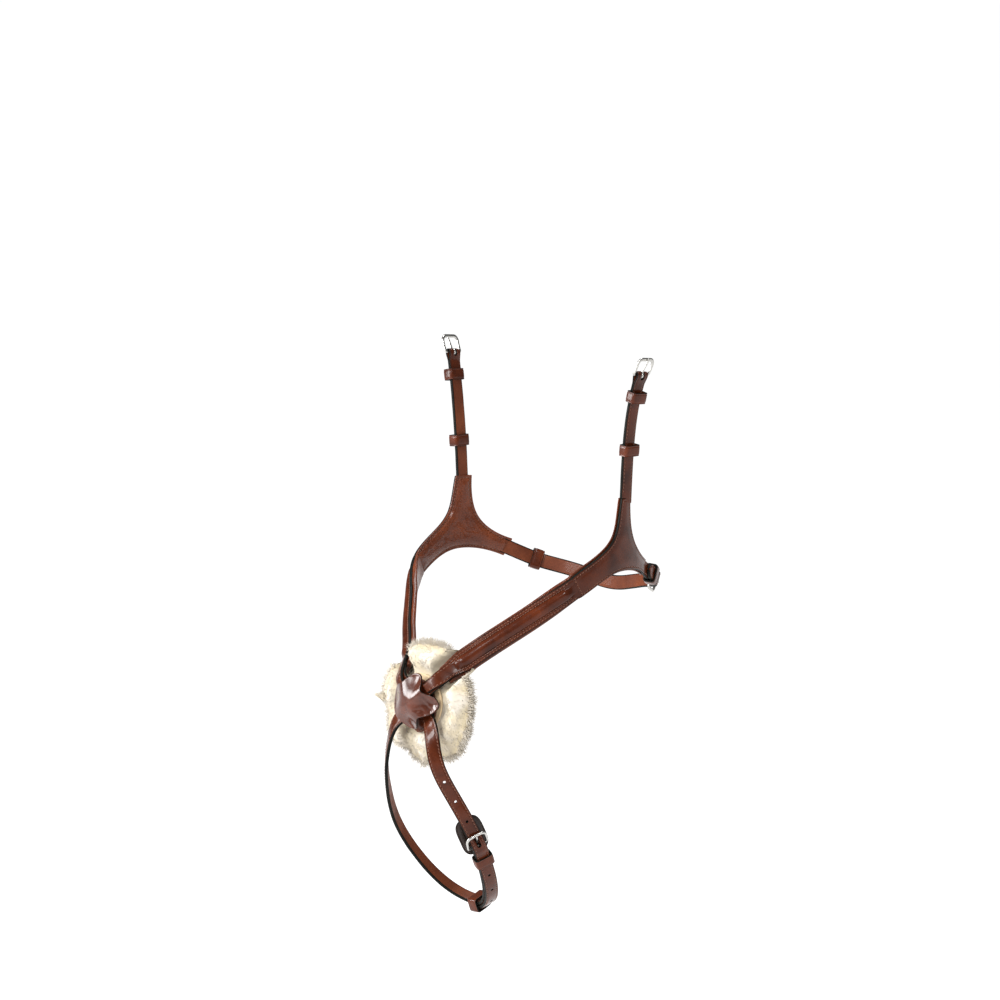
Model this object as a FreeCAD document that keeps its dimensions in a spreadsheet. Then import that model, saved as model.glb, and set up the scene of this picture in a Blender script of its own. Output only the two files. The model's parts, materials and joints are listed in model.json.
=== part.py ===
"""Figure-eight noseband with a sheepskin nose pad, for a full-size horse's bridle.

Millimetres. +Z is up, the horse faces -Y and its left side is +X. The origin is the middle of
the rosette, where the two crossing straps meet on the front of the nose.
"""
import FreeCAD, Part
import math
import os

import Sketcher
from FreeCAD import Matrix, Placement, Rotation, Vector

os.makedirs("parts", exist_ok=True)
doc = FreeCAD.newDocument("noseband")

# ---------------------------------------------------------------- driving dimensions
SIZES = {
    "strap_width": 13.0, "strap_thick": 3.0, "lap_gap": 0.15,
    "top_width": 19.0, "top_thick": 2.6, "lining_width": 22.0, "lining_thick": 4.2,
    "core_width": 9.0, "core_height": 2.2,
    "plate_thick": 3.0, "plate_pad": 3.0, "plate_margin": 1.3,
    "wire_radius": 1.3, "frame_inside": 15.6, "frame_length": 15.0,
    "front_corner": 4.5, "heel_corner": 2.0,
    "tongue_radius": 0.9, "tongue_clear": 0.25, "tongue_over": 1.6,
    "eye_radius": 3.1, "eye_reach": 9.0, "slot_width": 3.6,
    "keeper_band": 10.0, "keeper_wall": 1.7, "keeper_clear": 0.5, "bend_clear": 2.7,
    "billet_room": 3.6,
    "hole_radius": 1.7, "hole_spacing": 20.0,
    "guard_length": 38.0, "guard_width": 25.0, "guard_thick": 1.6,
    "rosette_middle": 17.0, "lobe_radius": 13.0, "lobe_offset": 14.0, "rosette_rise": 8.5,
    "dome_radius": 62.0, "rosette_gap": 4.4, "base_radius": 20.0, "base_thick": 2.0,
    "hide_radius": 25.0, "hide_thick": 2.0, "wool_radius": 56.0, "wool_depth": 22.0,
    "wool_round": 8.0,
}
sheet = doc.addObject("Spreadsheet::Sheet", "Sizes")
for row, (alias, value) in enumerate(SIZES.items(), start=1):
    sheet.set(f"A{row}", str(value))
    sheet.setAlias(f"A{row}", alias)
doc.recompute()


def size(alias):
    """A driving dimension, read from the sheet."""
    return float(sheet.get(alias))


STRAP = size("strap_width")
THICK = size("strap_thick")
GAP = size("lap_gap")
WIRE = size("wire_radius")
REACH = size("eye_reach")

# ---------------------------------------------------------------- lines that the straps follow
# Each key is a point that the strap passes, and the way its outer face looks there.
# They are given for the left side (+X); the right side mirrors them.
NOSE_KEYS = [
    ((101.4, 115.0, 109.5), (0.98, -0.20, 0.0)), ((97.0, 98.0, 100.5), (0.95, -0.31, 0.0)),
    ((76.0, 69.0, 77.0), (0.52, -0.86, 0.0)), ((52.0, 42.5, 54.0), (0.40, -0.92, 0.0)),
    ((31.0, 20.0, 33.0), (0.31, -0.95, 0.0)), ((22.0, 7.0, 21.5), (0.22, -0.97, 0.0)),
    ((12.0, 0.6, 11.0), (0.05, -1.0, 0.0)),
]
CHEEK_KEYS = [
    ((101.7, 157.5, 175.5), (1.0, 0.0, 0.0)), ((104.5, 157.5, 217.0), (1.0, 0.0, 0.0)),
    ((110.0, 158.5, 257.0), (1.0, 0.0, 0.0)), ((116.5, 161.0, 284.0), (1.0, 0.0, 0.0)),
]
CHIN_SIDE = NOSE_KEYS + [
    ((0.0, 0.0, 0.0), (0.0, -1.0, 0.0)), ((-12.0, -0.1, -10.5), (-0.10, -0.99, 0.0)),
    ((-20.5, -2.7, -20.0), (-0.40, -0.92, 0.0)),
    ((-30.0, -5.5, -47.0), (-0.66, -0.75, 0.0)), ((-40.5, 5.5, -80.0), (-0.80, -0.60, 0.0)),
    ((-47.0, 22.0, -112.0), (-0.88, -0.45, -0.1)), ((-42.0, 43.0, -145.0), (-0.85, -0.2, -0.5)),
    ((-28.5, 62.0, -170.5), (-0.55, 0.15, -0.82)), ((-14.5, 73.0, -182.0), (-0.28, 0.30, -0.91)),
]
CROSSING_KEY, BOTTOM_KEY, BUCKLE_KEY = 7, 16, 20
CHIN_MIDDLE = [((0.0, 78.0, -186.0), (0.0, 0.38, -0.92))]
JAW_SIDE = [
    ((91.6, 183.0, 114.5), (0.90, 0.42, 0.0)), ((84.0, 197.0, 108.0), (0.84, 0.54, 0.0)),
    ((71.0, 221.0, 96.0), (0.76, 0.62, -0.24)), ((40.0, 240.0, 87.0), (0.38, 0.90, -0.24)),
]
JAW_MIDDLE = [((0.0, 246.0, 80.0), (0.0, 1.0, -0.15))]


LONG_LINE = 12          # a line with more keys than this crosses itself, so it uses its knots


def mirrored(keys):
    """The same keys on the other side of the horse."""
    return [((-p[0], p[1], p[2]), (-o[0], o[1], o[2])) for p, o in keys]


class Run:
    """A smooth line through its keys, with a frame that turns evenly between them."""

    def __init__(self, keys):
        points = [Vector(*point) for point, _ in keys]
        self.curve = Part.BSplineCurve()
        self.curve.interpolate(points)
        self.first = self.curve.FirstParameter
        self.marks = [self.curve.parameter(point) for point in points]
        if len(keys) > LONG_LINE:
            self.marks = list(self.curve.getKnots())
        self.looks = [Vector(*look) for _, look in keys]
        self.length = self.curve.length()

    def key(self, index):
        """How far along the line one of its keys lies."""
        return self.curve.length(self.first, self.marks[index]) if index else 0.0

    def frame(self, distance):
        """Point, and the along, across and outward directions, at a distance along the line."""
        place = self.curve.parameterAtDistance(distance, self.first)
        span = 0
        while span < len(self.marks) - 2 and place > self.marks[span + 1]:
            span += 1
        share = (place - self.marks[span]) / (self.marks[span + 1] - self.marks[span])
        look = self.looks[span] * (1 - share) + self.looks[span + 1] * share
        along = self.curve.tangent(place)[0]
        along.normalize()
        across = look.cross(along)
        across.normalize()
        return self.curve.value(place), along, across, along.cross(across)

    def placement(self, distance, rise=0.0, ahead=0.0):
        """A placement whose X runs along the line, Y across it and Z outward."""
        point, along, across, out = self.frame(distance)
        at = point + out * rise + along * ahead
        return Placement(Matrix(along.x, across.x, out.x, at.x, along.y, across.y, out.y, at.y,
                                along.z, across.z, out.z, at.z, 0, 0, 0, 1))


def between(table, at):
    """The value of a table of (place, value) rows at a place, smooth from row to row."""
    if at <= table[0][0]:
        return table[0][1]
    for (low, before), (high, after) in zip(table, table[1:]):
        if at <= high:
            share = (at - low) / (high - low)
            return before + (after - before) * share * share * (3 - 2 * share)
    return table[-1][1]


def ribbon(run, start, end, section, spacing=7.0):
    """A strap along a line: section(distance) gives its outline as (across, outward) pairs."""
    steps = max(2, round((end - start) / spacing))
    outlines = []
    for step in range(steps + 1):
        distance = start + (end - start) * step / steps
        point, _, across, out = run.frame(distance)
        corners = [point + across * side + out * rise for side, rise in section(distance)]
        outlines.append(Part.makePolygon(corners + corners[:1]))
    return Part.makeLoft(outlines, True, True)


def flat(width, low, high):
    """A plain strap section."""
    return [(-width / 2, low), (width / 2, low), (width / 2, high), (-width / 2, high)]


# ---------------------------------------------------------------- document helpers
PIECES = []             # every sub-part, in the order in which it is made


def piece(label, shape):
    """A sub-part whose shape is worked out from the sheet."""
    item = doc.addObject("Part::Feature", label)
    item.Label = label
    item.Shape = shape.Solids[0] if len(shape.Solids) == 1 else shape
    PIECES.append(item)
    return item


def bound(kind, name, sizes, placement=None):
    """A document object whose sizes follow the sheet."""
    item = doc.addObject(kind, name)
    for prop, expression in sizes.items():
        item.setExpression(prop, expression)
    if placement is not None:
        item.Placement = placement
    return item


def finished(item, label, placement=None):
    """Names a bound object as a sub-part and puts it in its place."""
    item.Label = label
    if placement is not None:
        item.Placement = placement
    PIECES.append(item)
    return item


def origin_plane(body, role):
    """One of a body's own origin planes."""
    return next(plane for plane in body.Origin.OriginFeatures if plane.Role == role)


def add_rectangle(sketch, half_width, low, high):
    """A rectangle that is symmetric about the sketch's vertical axis, sized by expressions."""
    first = sketch.GeometryCount
    corners = [(-5, -2), (5, -2), (5, 2), (-5, 2)]
    for index, (x, y) in enumerate(corners):
        nx, ny = corners[(index + 1) % 4]
        sketch.addGeometry(Part.LineSegment(Vector(x, y, 0), Vector(nx, ny, 0)), False)
    for index in range(4):
        link = Sketcher.Constraint("Coincident", first + index, 2, first + (index + 1) % 4, 1)
        sketch.addConstraint(link)
    for index in (0, 2):
        sketch.addConstraint(Sketcher.Constraint("Horizontal", first + index))
        sketch.addConstraint(Sketcher.Constraint("Vertical", first + index + 1))
    for kind, corner, expression, guess in (("DistanceX", 1, half_width, 5.0),
                                            ("DistanceX", 0, f"-({half_width})", -5.0),
                                            ("DistanceY", 0, low, -2.0),
                                            ("DistanceY", 2, high, 2.0)):
        number = sketch.addConstraint(Sketcher.Constraint(kind, -1, 1, first + corner, 1, guess))
        sketch.setExpression(f"Constraints[{number}]", expression)


def keeper(label, placement, room, clear="Sizes.keeper_clear"):
    """A leather loop round a strap, open along X; room is the space over the strap's middle."""
    body = doc.addObject("PartDesign::Body", label + "_body")
    sketch = body.newObject("Sketcher::SketchObject", label + "_loop")
    sketch.AttachmentSupport = [(origin_plane(body, "YZ_Plane"), "")]
    sketch.MapMode = "FlatFace"
    half = f"Sizes.strap_width / 2 + {clear}"
    low = f"-Sizes.strap_thick / 2 - {clear}"
    wall = "Sizes.keeper_wall"
    add_rectangle(sketch, half, low, room)
    add_rectangle(sketch, f"{half} + {wall}", f"{low} - {wall}", f"{room} + {wall}")
    pad = body.newObject("PartDesign::Pad", label + "_band")
    pad.Profile = sketch
    pad.setExpression("Length", "Sizes.keeper_band")
    pad.Midplane = True
    body.Tip = pad
    doc.recompute()
    return finished(body, label, placement)


def buckle_frame(label, placement):
    """A wire frame: heel bar on the Y axis, front bar ahead along X, four round corners."""
    half = "(Sizes.frame_inside / 2 + Sizes.wire_radius)"
    parts = []
    for name, far in (("heel", "0 mm"), ("front", "Sizes.frame_length")):
        corner = f"Sizes.{name}_corner"
        bar = bound("Part::Cylinder", f"{label}_{name}_bar",
                    {"Radius": "Sizes.wire_radius", "Height": f"2 * ({half} - {corner})",
                     "Placement.Base.x": far, "Placement.Base.y": f"{half} - {corner}"})
        bar.Placement.Rotation = Rotation(Vector(1, 0, 0), 90)
        parts.append(bar)
    for side in (1, -1):
        rail = bound("Part::Cylinder", f"{label}_rail_{len(parts)}",
                     {"Radius": "Sizes.wire_radius",
                      "Height": "Sizes.frame_length - Sizes.front_corner - Sizes.heel_corner",
                      "Placement.Base.x": "Sizes.heel_corner",
                      "Placement.Base.y": f"{side} * {half}"})
        rail.Placement.Rotation = Rotation(Vector(0, 1, 0), 90)
        parts.append(rail)
        for name, turn in (("front", 0 if side > 0 else -90), ("heel", 90 if side > 0 else 180)):
            corner = f"Sizes.{name}_corner"
            centre = f"Sizes.frame_length - {corner}" if name == "front" else corner
            bend = bound("Part::Torus", f"{label}_bend_{len(parts)}",
                         {"Radius1": corner, "Radius2": "Sizes.wire_radius",
                          "Placement.Base.x": centre,
                          "Placement.Base.y": f"{side} * ({half} - {corner})"})
            bend.Angle3 = 90.0
            bend.Placement.Rotation = Rotation(Vector(0, 0, 1), turn)
            parts.append(bend)
    whole = doc.addObject("Part::MultiFuse", label + "_frame")
    whole.Shapes = parts
    whole.Refine = True
    return finished(whole, label, placement)


def buckle_tongue(label, placement):
    """A ring round the heel bar, and a pin that reaches just past the front bar."""
    ring = bound("Part::Torus", label + "_ring",
                 {"Radius1": "Sizes.wire_radius + Sizes.tongue_clear + Sizes.tongue_radius",
                  "Radius2": "Sizes.tongue_radius"})
    ring.Placement.Rotation = Rotation(Vector(1, 0, 0), 90)
    reach = size("frame_length") + size("tongue_over")
    start = Vector(WIRE + size("tongue_clear") + size("tongue_radius"), 0, 0.4)
    end = Vector(reach, 0, WIRE + size("tongue_radius") + 0.3)
    pin = bound("Part::Cylinder", label + "_pin", {"Radius": "Sizes.tongue_radius"})
    pin.Height = (end - start).Length
    pin.Placement = Placement(start, Rotation(Vector(0, 0, 1), end - start))
    tip = bound("Part::Sphere", label + "_tip", {"Radius": "Sizes.tongue_radius"})
    tip.Placement.Base = end
    whole = doc.addObject("Part::MultiFuse", label + "_whole")
    whole.Shapes = [ring, pin, tip]
    return finished(whole, label, placement)


BAR_CLEAR = 0.2         # between a heel bar and the leather turned back round it
SLOT_BACK = 4.2         # the tongue's slot starts this far behind the heel bar


def eye(placement):
    """The turned-back end of a strap round a buckle's bar, with the slot for the tongue."""
    outer = size("eye_radius")
    lean = 0.5
    rise = math.sqrt(outer ** 2 - lean ** 2)
    back = THICK / 2
    past = 1.0              # the cutting tools reach this far past the strap
    low = Vector(-REACH, 0, -back)
    high = Vector(-REACH, 0, back)
    under = Vector(-lean, 0, -rise)
    over = Vector(-lean, 0, rise)
    outline = Part.Wire([Part.LineSegment(low, under).toShape(),
                         Part.Arc(under, Vector(outer, 0, 0), over).toShape(),
                         Part.LineSegment(over, high).toShape(),
                         Part.LineSegment(high, low).toShape()])
    outline.translate(Vector(0, -STRAP / 2, 0))
    solid = Part.Face(outline).extrude(Vector(0, STRAP, 0))
    bore = Part.makeCylinder(WIRE + BAR_CLEAR, STRAP + 2 * past,
                             Vector(0, -STRAP / 2 - past, 0), Vector(0, 1, 0))
    width = size("slot_width")
    slot = Part.makeBox(SLOT_BACK + outer + past, width, 4 * outer,
                        Vector(-SLOT_BACK, -width / 2, -2 * outer))
    solid = solid.cut(bore).cut(slot)
    solid.Placement = placement
    return solid


def tilted(placement, degrees):
    """A placement turned so that the front of a buckle lifts outward."""
    return placement.multiply(Placement(Vector(), Rotation(Vector(0, 1, 0), -degrees)))


# ---------------------------------------------------------------- cheek plates
# The Y outline as (y, z) points, edge by edge, and the curve of the cheek as (x, y) points.
FRONT_EDGE = [(150.6, 175.0), (146.8, 157.0), (142.0, 143.0), (125.0, 128.0), (93.3, 109.2)]
BOTTOM_EDGE = [(102.7, 91.8), (119.7, 101.0), (143.5, 110.0), (160.0, 111.0), (194.2, 101.6)]
REAR_EDGE = [(200.0, 114.4), (184.0, 123.0), (169.5, 139.0), (164.6, 157.0), (164.4, 175.0)]
CHEEK_CURVE = [(97.0, 98.0), (101.5, 150.0), (84.0, 197.0)]
BEYOND_CHEEK = 150.0    # the cutting prism reaches this far sideways, past the curved sheet
ABOVE_PLATE = 250.0     # and the curved sheet is this tall, past the top of the Y


def grown(points, margin):
    """A smooth edge through (y, z) points, moved outward by a margin."""
    edge = Part.BSplineCurve()
    edge.interpolate([Vector(0, y, z) for y, z in points])
    if not margin:
        return edge
    moved = []
    for place in edge.getKnots():
        ahead = edge.tangent(place)[0]
        moved.append(edge.value(place) + Vector(0, ahead.z, -ahead.y).normalize() * margin)
    edge = Part.BSplineCurve()
    edge.interpolate(moved)
    return edge


def cheek_sheet(side, inner, outer, margin):
    """The Y outline, its long edges grown by a margin, cut from a curved sheet."""
    curves = [grown(points, margin) for points in (FRONT_EDGE, BOTTOM_EDGE, REAR_EDGE)]
    edges = []
    for curve, following in zip(curves, curves[1:] + curves[:1]):
        edges.append(curve.toShape())
        edges.append(Part.LineSegment(curve.EndPoint, following.StartPoint).toShape())
    prism = Part.Face(Part.Wire(edges)).extrude(Vector(side * BEYOND_CHEEK, 0, 0))
    arc = Part.Arc(*[Vector(side * x, y, 0) for x, y in CHEEK_CURVE]).toShape().Curve
    shell = Part.makeCylinder(arc.Radius + outer, ABOVE_PLATE, arc.Center)
    hollow = Part.makeCylinder(arc.Radius + inner, ABOVE_PLATE, arc.Center)
    return prism.common(shell.cut(hollow)).Solids[0]


# ---------------------------------------------------------------- nose straps
TIP_END = 27.0          # the narrow tip of a nose strap ends this far from the middle
TIP_FULL = 62.0         # and from here it has its full width and its raised middle
TIP_FLAT = 43.0         # over the end of the chin strap it lies flat
LINING_END = 38.0
NOSE_SEAM = 0.4         # between the plate and the outer leather of a nose strap
PAD_SEAM = 0.6          # between the plate's grown lining and a strap that ends against it
BEAD_SLOPE = 0.7        # the raised middle narrows by this much from its foot to its top

right_to_left = CHIN_SIDE + CHIN_MIDDLE + list(reversed(mirrored(CHIN_SIDE)))
chin = Run(right_to_left)
billet_line = Run(list(reversed(right_to_left)))
crossing = chin.key(CROSSING_KEY)


def nose_top(distance):
    """The section of the raised outer leather of a nose strap."""
    step = BEAD_SLOPE
    edge = size("top_thick")
    full = between([(crossing - TIP_FULL, 1.0), (crossing - TIP_FLAT, 0.0)], distance)
    half = (STRAP + (size("top_width") - STRAP) * full) / 2
    base = between([(crossing - TIP_FULL, GAP), (crossing - TIP_FLAT, THICK + 2 * GAP)], distance)
    rise = 0.2 + (size("core_height") - 0.1) * full
    inner = size("core_width") / 2 + 0.3 - 1.5 * (1 - full)
    under = [(-half, base), (-inner, base), (-inner + step / 2, base + rise),
             (inner - step / 2, base + rise), (inner, base), (half, base)]
    over = [(half, base + edge), (inner + step, base + edge), (inner, base + edge + rise),
            (-inner, base + edge + rise), (-inner - step, base + edge), (-half, base + edge)]
    return under + over


def nose_lining(distance):
    """The padded lining, a little wider than the leather and narrower towards its end."""
    near_end = between([(crossing - TIP_FULL, 0.0), (crossing - LINING_END, 1.0)], distance)
    return flat(size("lining_width") - 5.0 * near_end, -size("lining_thick"), 0.0)


# ---------------------------------------------------------------- both sides
CHEEK_TILT = 8.0
FIXED_KEEPER_BACK = 20.0
LOWER_KEEPER_AT = {"left": 42.0, "right": 31.0}
RING_ROOM = "Sizes.strap_thick / 2 + Sizes.billet_room"

for side, name in ((1, "left"), (-1, "right")):
    follow = list if side > 0 else mirrored
    cheek = Run(follow(CHEEK_KEYS))
    bar = cheek.placement(cheek.length - REACH, ahead=REACH)
    strap = ribbon(cheek, PAD_SEAM, cheek.length - REACH,
                   lambda distance: flat(STRAP, -THICK / 2, THICK / 2))
    piece(f"{name}_cheek_strap", strap.fuse(eye(bar)).removeSplitter())
    buckle_frame(f"{name}_cheek_frame", tilted(bar, CHEEK_TILT))
    buckle_tongue(f"{name}_cheek_tongue", tilted(bar, CHEEK_TILT))
    keeper(f"{name}_fixed_keeper", cheek.placement(cheek.length - FIXED_KEEPER_BACK), RING_ROOM)
    keeper(f"{name}_lower_keeper", cheek.placement(LOWER_KEEPER_AT[name]), RING_ROOM)
    piece(f"{name}_cheek_plate", cheek_sheet(side, GAP, GAP + size("plate_thick"), 0))
    piece(f"{name}_cheek_lining",
          cheek_sheet(side, -size("plate_pad"), 0, size("plate_margin")))

    nose = chin if side > 0 else billet_line
    seam = nose.key(1) + NOSE_SEAM
    piece(f"{name}_nose_top", ribbon(nose, seam, crossing - TIP_END, nose_top))
    piece(f"{name}_nose_core",
          ribbon(nose, seam + 2, crossing - TIP_FULL,
                 lambda distance: flat(size("core_width") - 0.4, GAP / 2, size("core_height"))))
    piece(f"{name}_nose_lining",
          ribbon(nose, seam + 2 * PAD_SEAM, crossing - LINING_END, nose_lining))

# ---------------------------------------------------------------- chin straps
BELOW_ROSETTE = -THICK - 0.1
CHIN_TILT = 18.0
CHIN_HOLE = 7.0
HOLE_LONG = 8.0         # the hole that the tongue stands in is a slot this long
TOOL_BELOW = 4.0        # a punch starts this far below the back of a strap
TOOL_LONG = 16.0
BAR_ON_CHIN = 14.5      # the heel bar lies this far below the key beside the chin buckle

chin_bar_at = chin.key(BUCKLE_KEY) - BAR_ON_CHIN


def chin_low(distance):
    """How far the back of the chin buckle strap lies from its line."""
    return between([(crossing - 30, GAP), (crossing - 20, 0.1), (crossing + 20, 0.1),
                    (crossing + 50, -THICK / 2)], distance)


def billet_low(from_bar, bend=0.0):
    """How far the back of a billet lies from its line, by the distance ahead of the heel bar.

    bend lifts it over the straight eye where the line curves away from it.
    """
    over_strap = THICK / 2 + 0.6
    over_eye = size("eye_radius") + 0.7 + bend
    return between([(-20, over_strap), (-10, over_strap), (-2, over_eye), (2, over_eye),
                    (14, 1.0 + bend), (30, 0.4), (50, -THICK / 2)], from_bar)


def chin_billet_low(distance):
    """The same for the chin billet, which also passes behind the other strap at the rosette."""
    if distance > crossing + 40:
        return billet_low(billet_line.length - chin_bar_at - distance)
    return between([(crossing - 30, GAP), (crossing - 18, BELOW_ROSETTE),
                    (crossing + 18, BELOW_ROSETTE), (crossing + 40, -THICK / 2)], distance)


def punched(strap, line, low, bar_at, bar_place, tongue_hole, holes):
    """Punches the long hole that the tongue stands in, and a row of round holes on the line."""
    radius = size("hole_radius")
    tongue_tool = Part.makeBox(HOLE_LONG, 2 * radius, TOOL_LONG,
                               Vector(tongue_hole - HOLE_LONG / 2, -radius, -TOOL_BELOW))
    tongue_tool.Placement = bar_place
    strap = strap.cut(tongue_tool)
    for number in holes:
        distance = bar_at - tongue_hole - number * size("hole_spacing")
        tool = Part.makeCylinder(radius, TOOL_LONG)
        tool.Placement = line.placement(distance, rise=low(distance) - TOOL_BELOW)
        strap = strap.cut(tool)
    return strap


chin_bar = chin.placement(chin_bar_at - REACH, ahead=REACH)
strap = ribbon(chin, crossing - 42, chin_bar_at - REACH,
               lambda distance: flat(STRAP, chin_low(distance), chin_low(distance) + THICK))
piece("chin_buckle_strap", strap.fuse(eye(chin_bar)).removeSplitter())
buckle_frame("chin_frame", tilted(chin_bar, CHIN_TILT))
buckle_tongue("chin_tongue", tilted(chin_bar, CHIN_TILT))

BILLET_TAIL = 108.0
billet_bar_at = billet_line.length - chin_bar_at
strap = ribbon(billet_line, crossing - 42, billet_bar_at + BILLET_TAIL,
               lambda d: flat(STRAP, chin_billet_low(d), chin_billet_low(d) + THICK), 5.0)
piece("chin_billet", punched(strap, billet_line, chin_billet_low, billet_bar_at, chin_bar,
                             CHIN_HOLE, (3, 2, 1, -2, -3, -4)))
keeper("chin_fixed_keeper", chin.placement(chin_bar_at - 16), RING_ROOM)
keeper("chin_running_keeper", chin.placement(chin.key(BOTTOM_KEY)),
       RING_ROOM + " + Sizes.bend_clear / 2", "Sizes.bend_clear")

GUARD_AHEAD = 9.0       # the middle of the guard lies this far ahead of the heel bar
GUARD_TOP = -3.6        # its outer face lies this far behind the strap's line
GUARD_END = 8.0         # the width of its two short ends
guard_middle = chin_bar_at + GUARD_AHEAD
guard_half = size("guard_length") / 2


def guard_section(distance):
    """The guard is a rounded plate under the buckle, narrower at both ends."""
    share = min(abs(distance - guard_middle) / guard_half, 1.0)
    round_end = math.sqrt(max(0.0, 1 - share ** 4))
    wide = GUARD_END + (size("guard_width") - GUARD_END) * round_end
    return flat(wide, GUARD_TOP - size("guard_thick"), GUARD_TOP)


piece("chin_guard", ribbon(chin, guard_middle - guard_half, guard_middle + guard_half,
                           guard_section, 2.5))

# ---------------------------------------------------------------- jaw straps
BAR_ON_JAW = 40.0
JAW_TILT = 15.0
JAW_HOLE = 7.6
jaw_keys = mirrored(JAW_SIDE) + JAW_MIDDLE + list(reversed(JAW_SIDE))
jaw = Run(jaw_keys)
jaw_back = Run(list(reversed(jaw_keys)))
jaw_bar_at = jaw_back.key(1) + BAR_ON_JAW
jaw_bar = jaw_back.placement(jaw_bar_at - REACH, ahead=REACH)
strap = ribbon(jaw_back, jaw_back.key(1) + PAD_SEAM, jaw_bar_at - REACH,
               lambda distance: flat(STRAP, -THICK / 2, THICK / 2))
piece("jaw_buckle_strap", strap.fuse(eye(jaw_bar)).removeSplitter())
buckle_frame("jaw_frame", tilted(jaw_bar, JAW_TILT))
buckle_tongue("jaw_tongue", tilted(jaw_bar, JAW_TILT))

JAW_TAIL = 33.0
far_bar_at = jaw.length - jaw_bar_at


def jaw_low(distance):
    """How far the back of the jaw billet lies from its line."""
    return billet_low(far_bar_at - distance, bend=1.0)


strap = ribbon(jaw, jaw.key(1) + PAD_SEAM, far_bar_at + JAW_TAIL,
               lambda distance: flat(STRAP, jaw_low(distance), jaw_low(distance) + THICK), 5.0)
piece("jaw_billet", punched(strap, jaw, jaw_low, far_bar_at, jaw_bar, JAW_HOLE, (-1,)))
keeper("jaw_fixed_keeper", jaw_back.placement(jaw_bar_at - 17), RING_ROOM)
keeper("jaw_running_keeper", jaw.placement(jaw.key(2)),
       "Sizes.strap_thick / 2 + Sizes.bend_clear", "Sizes.bend_clear")

# ---------------------------------------------------------------- rosette and sheepskin
FACING = Rotation(Vector(1, 0, 0), 90)      # turns +Z towards the front of the horse


def disc(name, radius, thick, behind):
    """A disc whose front face lies a distance behind the origin."""
    place = Placement(Vector(0, behind + size(thick), 0), FACING)
    return bound("Part::Cylinder", name, {"Radius": f"Sizes.{radius}",
                                          "Height": f"Sizes.{thick}"}, place)


lobes = [bound("Part::Cylinder", "cover_middle",
               {"Radius": "Sizes.rosette_middle", "Height": "Sizes.rosette_rise"})]
for number, (x, y) in enumerate(((1, 0), (0, 1), (-1, 0), (0, -1))):
    lobes.append(bound("Part::Cylinder", f"cover_lobe_{number}",
                       {"Radius": "Sizes.lobe_radius", "Height": "Sizes.rosette_rise",
                        "Placement.Base.x": f"{x} * Sizes.lobe_offset",
                        "Placement.Base.y": f"{y} * Sizes.lobe_offset"}))
outline = doc.addObject("Part::MultiFuse", "cover_outline")
outline.Shapes = lobes
dome = bound("Part::Sphere", "cover_dome",
             {"Radius": "Sizes.dome_radius",
              "Placement.Base.z": "Sizes.rosette_rise - Sizes.dome_radius"})
cover = doc.addObject("Part::MultiCommon", "cover_whole")
cover.Shapes = [outline, dome]
finished(cover, "rosette_cover", Placement(Vector(0, -size("rosette_gap"), 0), FACING))

base_front = size("rosette_gap")
base = disc("base_disc", "base_radius", "base_thick", base_front)
finished(base, "rosette_base", base.Placement)
hide_front = base_front + size("base_thick") + GAP
hide = disc("hide_disc", "hide_radius", "hide_thick", hide_front)
finished(hide, "sheepskin_hide", hide.Placement)
doc.recompute()

wool_front = hide_front + size("hide_thick") + GAP
channel_width = size("lining_width") + 2
channel_low = -size("lining_thick") - 1
WOOL_AROUND = (90.0, 18.0)      # the nose straps press their channels into this stretch
CHANNEL_HIGH = 60.0
wool = Part.makeCylinder(size("wool_radius"), size("wool_depth"), Vector(0, wool_front, 0),
                         Vector(0, 1, 0))
wool = wool.makeFillet(size("wool_round"),
                       [edge for edge in wool.Edges if isinstance(edge.Curve, Part.Circle)])
for nose in (chin, billet_line):
    channel = ribbon(nose, crossing - WOOL_AROUND[0], crossing - WOOL_AROUND[1],
                     lambda distance: flat(channel_width, channel_low, CHANNEL_HIGH))
    wool = wool.cut(channel)
piece("sheepskin_wool", wool)

# ---------------------------------------------------------------- checks and files
doc.recompute()
for item in doc.Objects:
    if "Invalid" in item.State or "Error" in item.State:
        raise RuntimeError(f"{item.Name} failed: {item.State}")
for item in PIECES:
    shape = item.Shape
    if shape.isNull() or not shape.isValid() or shape.Volume <= 0:
        raise RuntimeError(f"{item.Label} has no valid solid")
    print(item.Label, len(shape.Solids), round(shape.Volume, 1))
for item in PIECES:
    item.Shape.exportStep(f"parts/{item.Label}.step")
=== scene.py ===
"""Looks of the figure-eight noseband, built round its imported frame.

The lines that the straps follow are the ones the frame was made on, in millimetres; MM turns
them into the scene's metres. +Z is up, the horse faces -Y and its left side is +X.
"""
import json
import math
import random

import bmesh
import bpy
import numpy as np
from mathutils import Matrix, Vector, noise
from mathutils.geometry import delaunay_2d_cdt


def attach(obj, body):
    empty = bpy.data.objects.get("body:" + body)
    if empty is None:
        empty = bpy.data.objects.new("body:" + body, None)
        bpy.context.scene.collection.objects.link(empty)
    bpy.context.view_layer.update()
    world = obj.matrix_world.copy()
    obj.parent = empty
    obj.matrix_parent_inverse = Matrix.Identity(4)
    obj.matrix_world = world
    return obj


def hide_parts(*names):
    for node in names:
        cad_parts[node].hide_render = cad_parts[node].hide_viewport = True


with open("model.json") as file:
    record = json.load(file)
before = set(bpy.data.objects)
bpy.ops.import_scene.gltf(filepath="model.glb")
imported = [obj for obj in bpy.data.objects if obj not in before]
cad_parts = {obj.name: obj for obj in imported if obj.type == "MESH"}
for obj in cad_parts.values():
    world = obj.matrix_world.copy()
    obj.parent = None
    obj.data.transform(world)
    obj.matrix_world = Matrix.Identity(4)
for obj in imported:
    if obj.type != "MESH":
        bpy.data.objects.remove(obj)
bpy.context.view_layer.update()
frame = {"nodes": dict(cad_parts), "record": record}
MM = 0.001
SEED = 7

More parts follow.
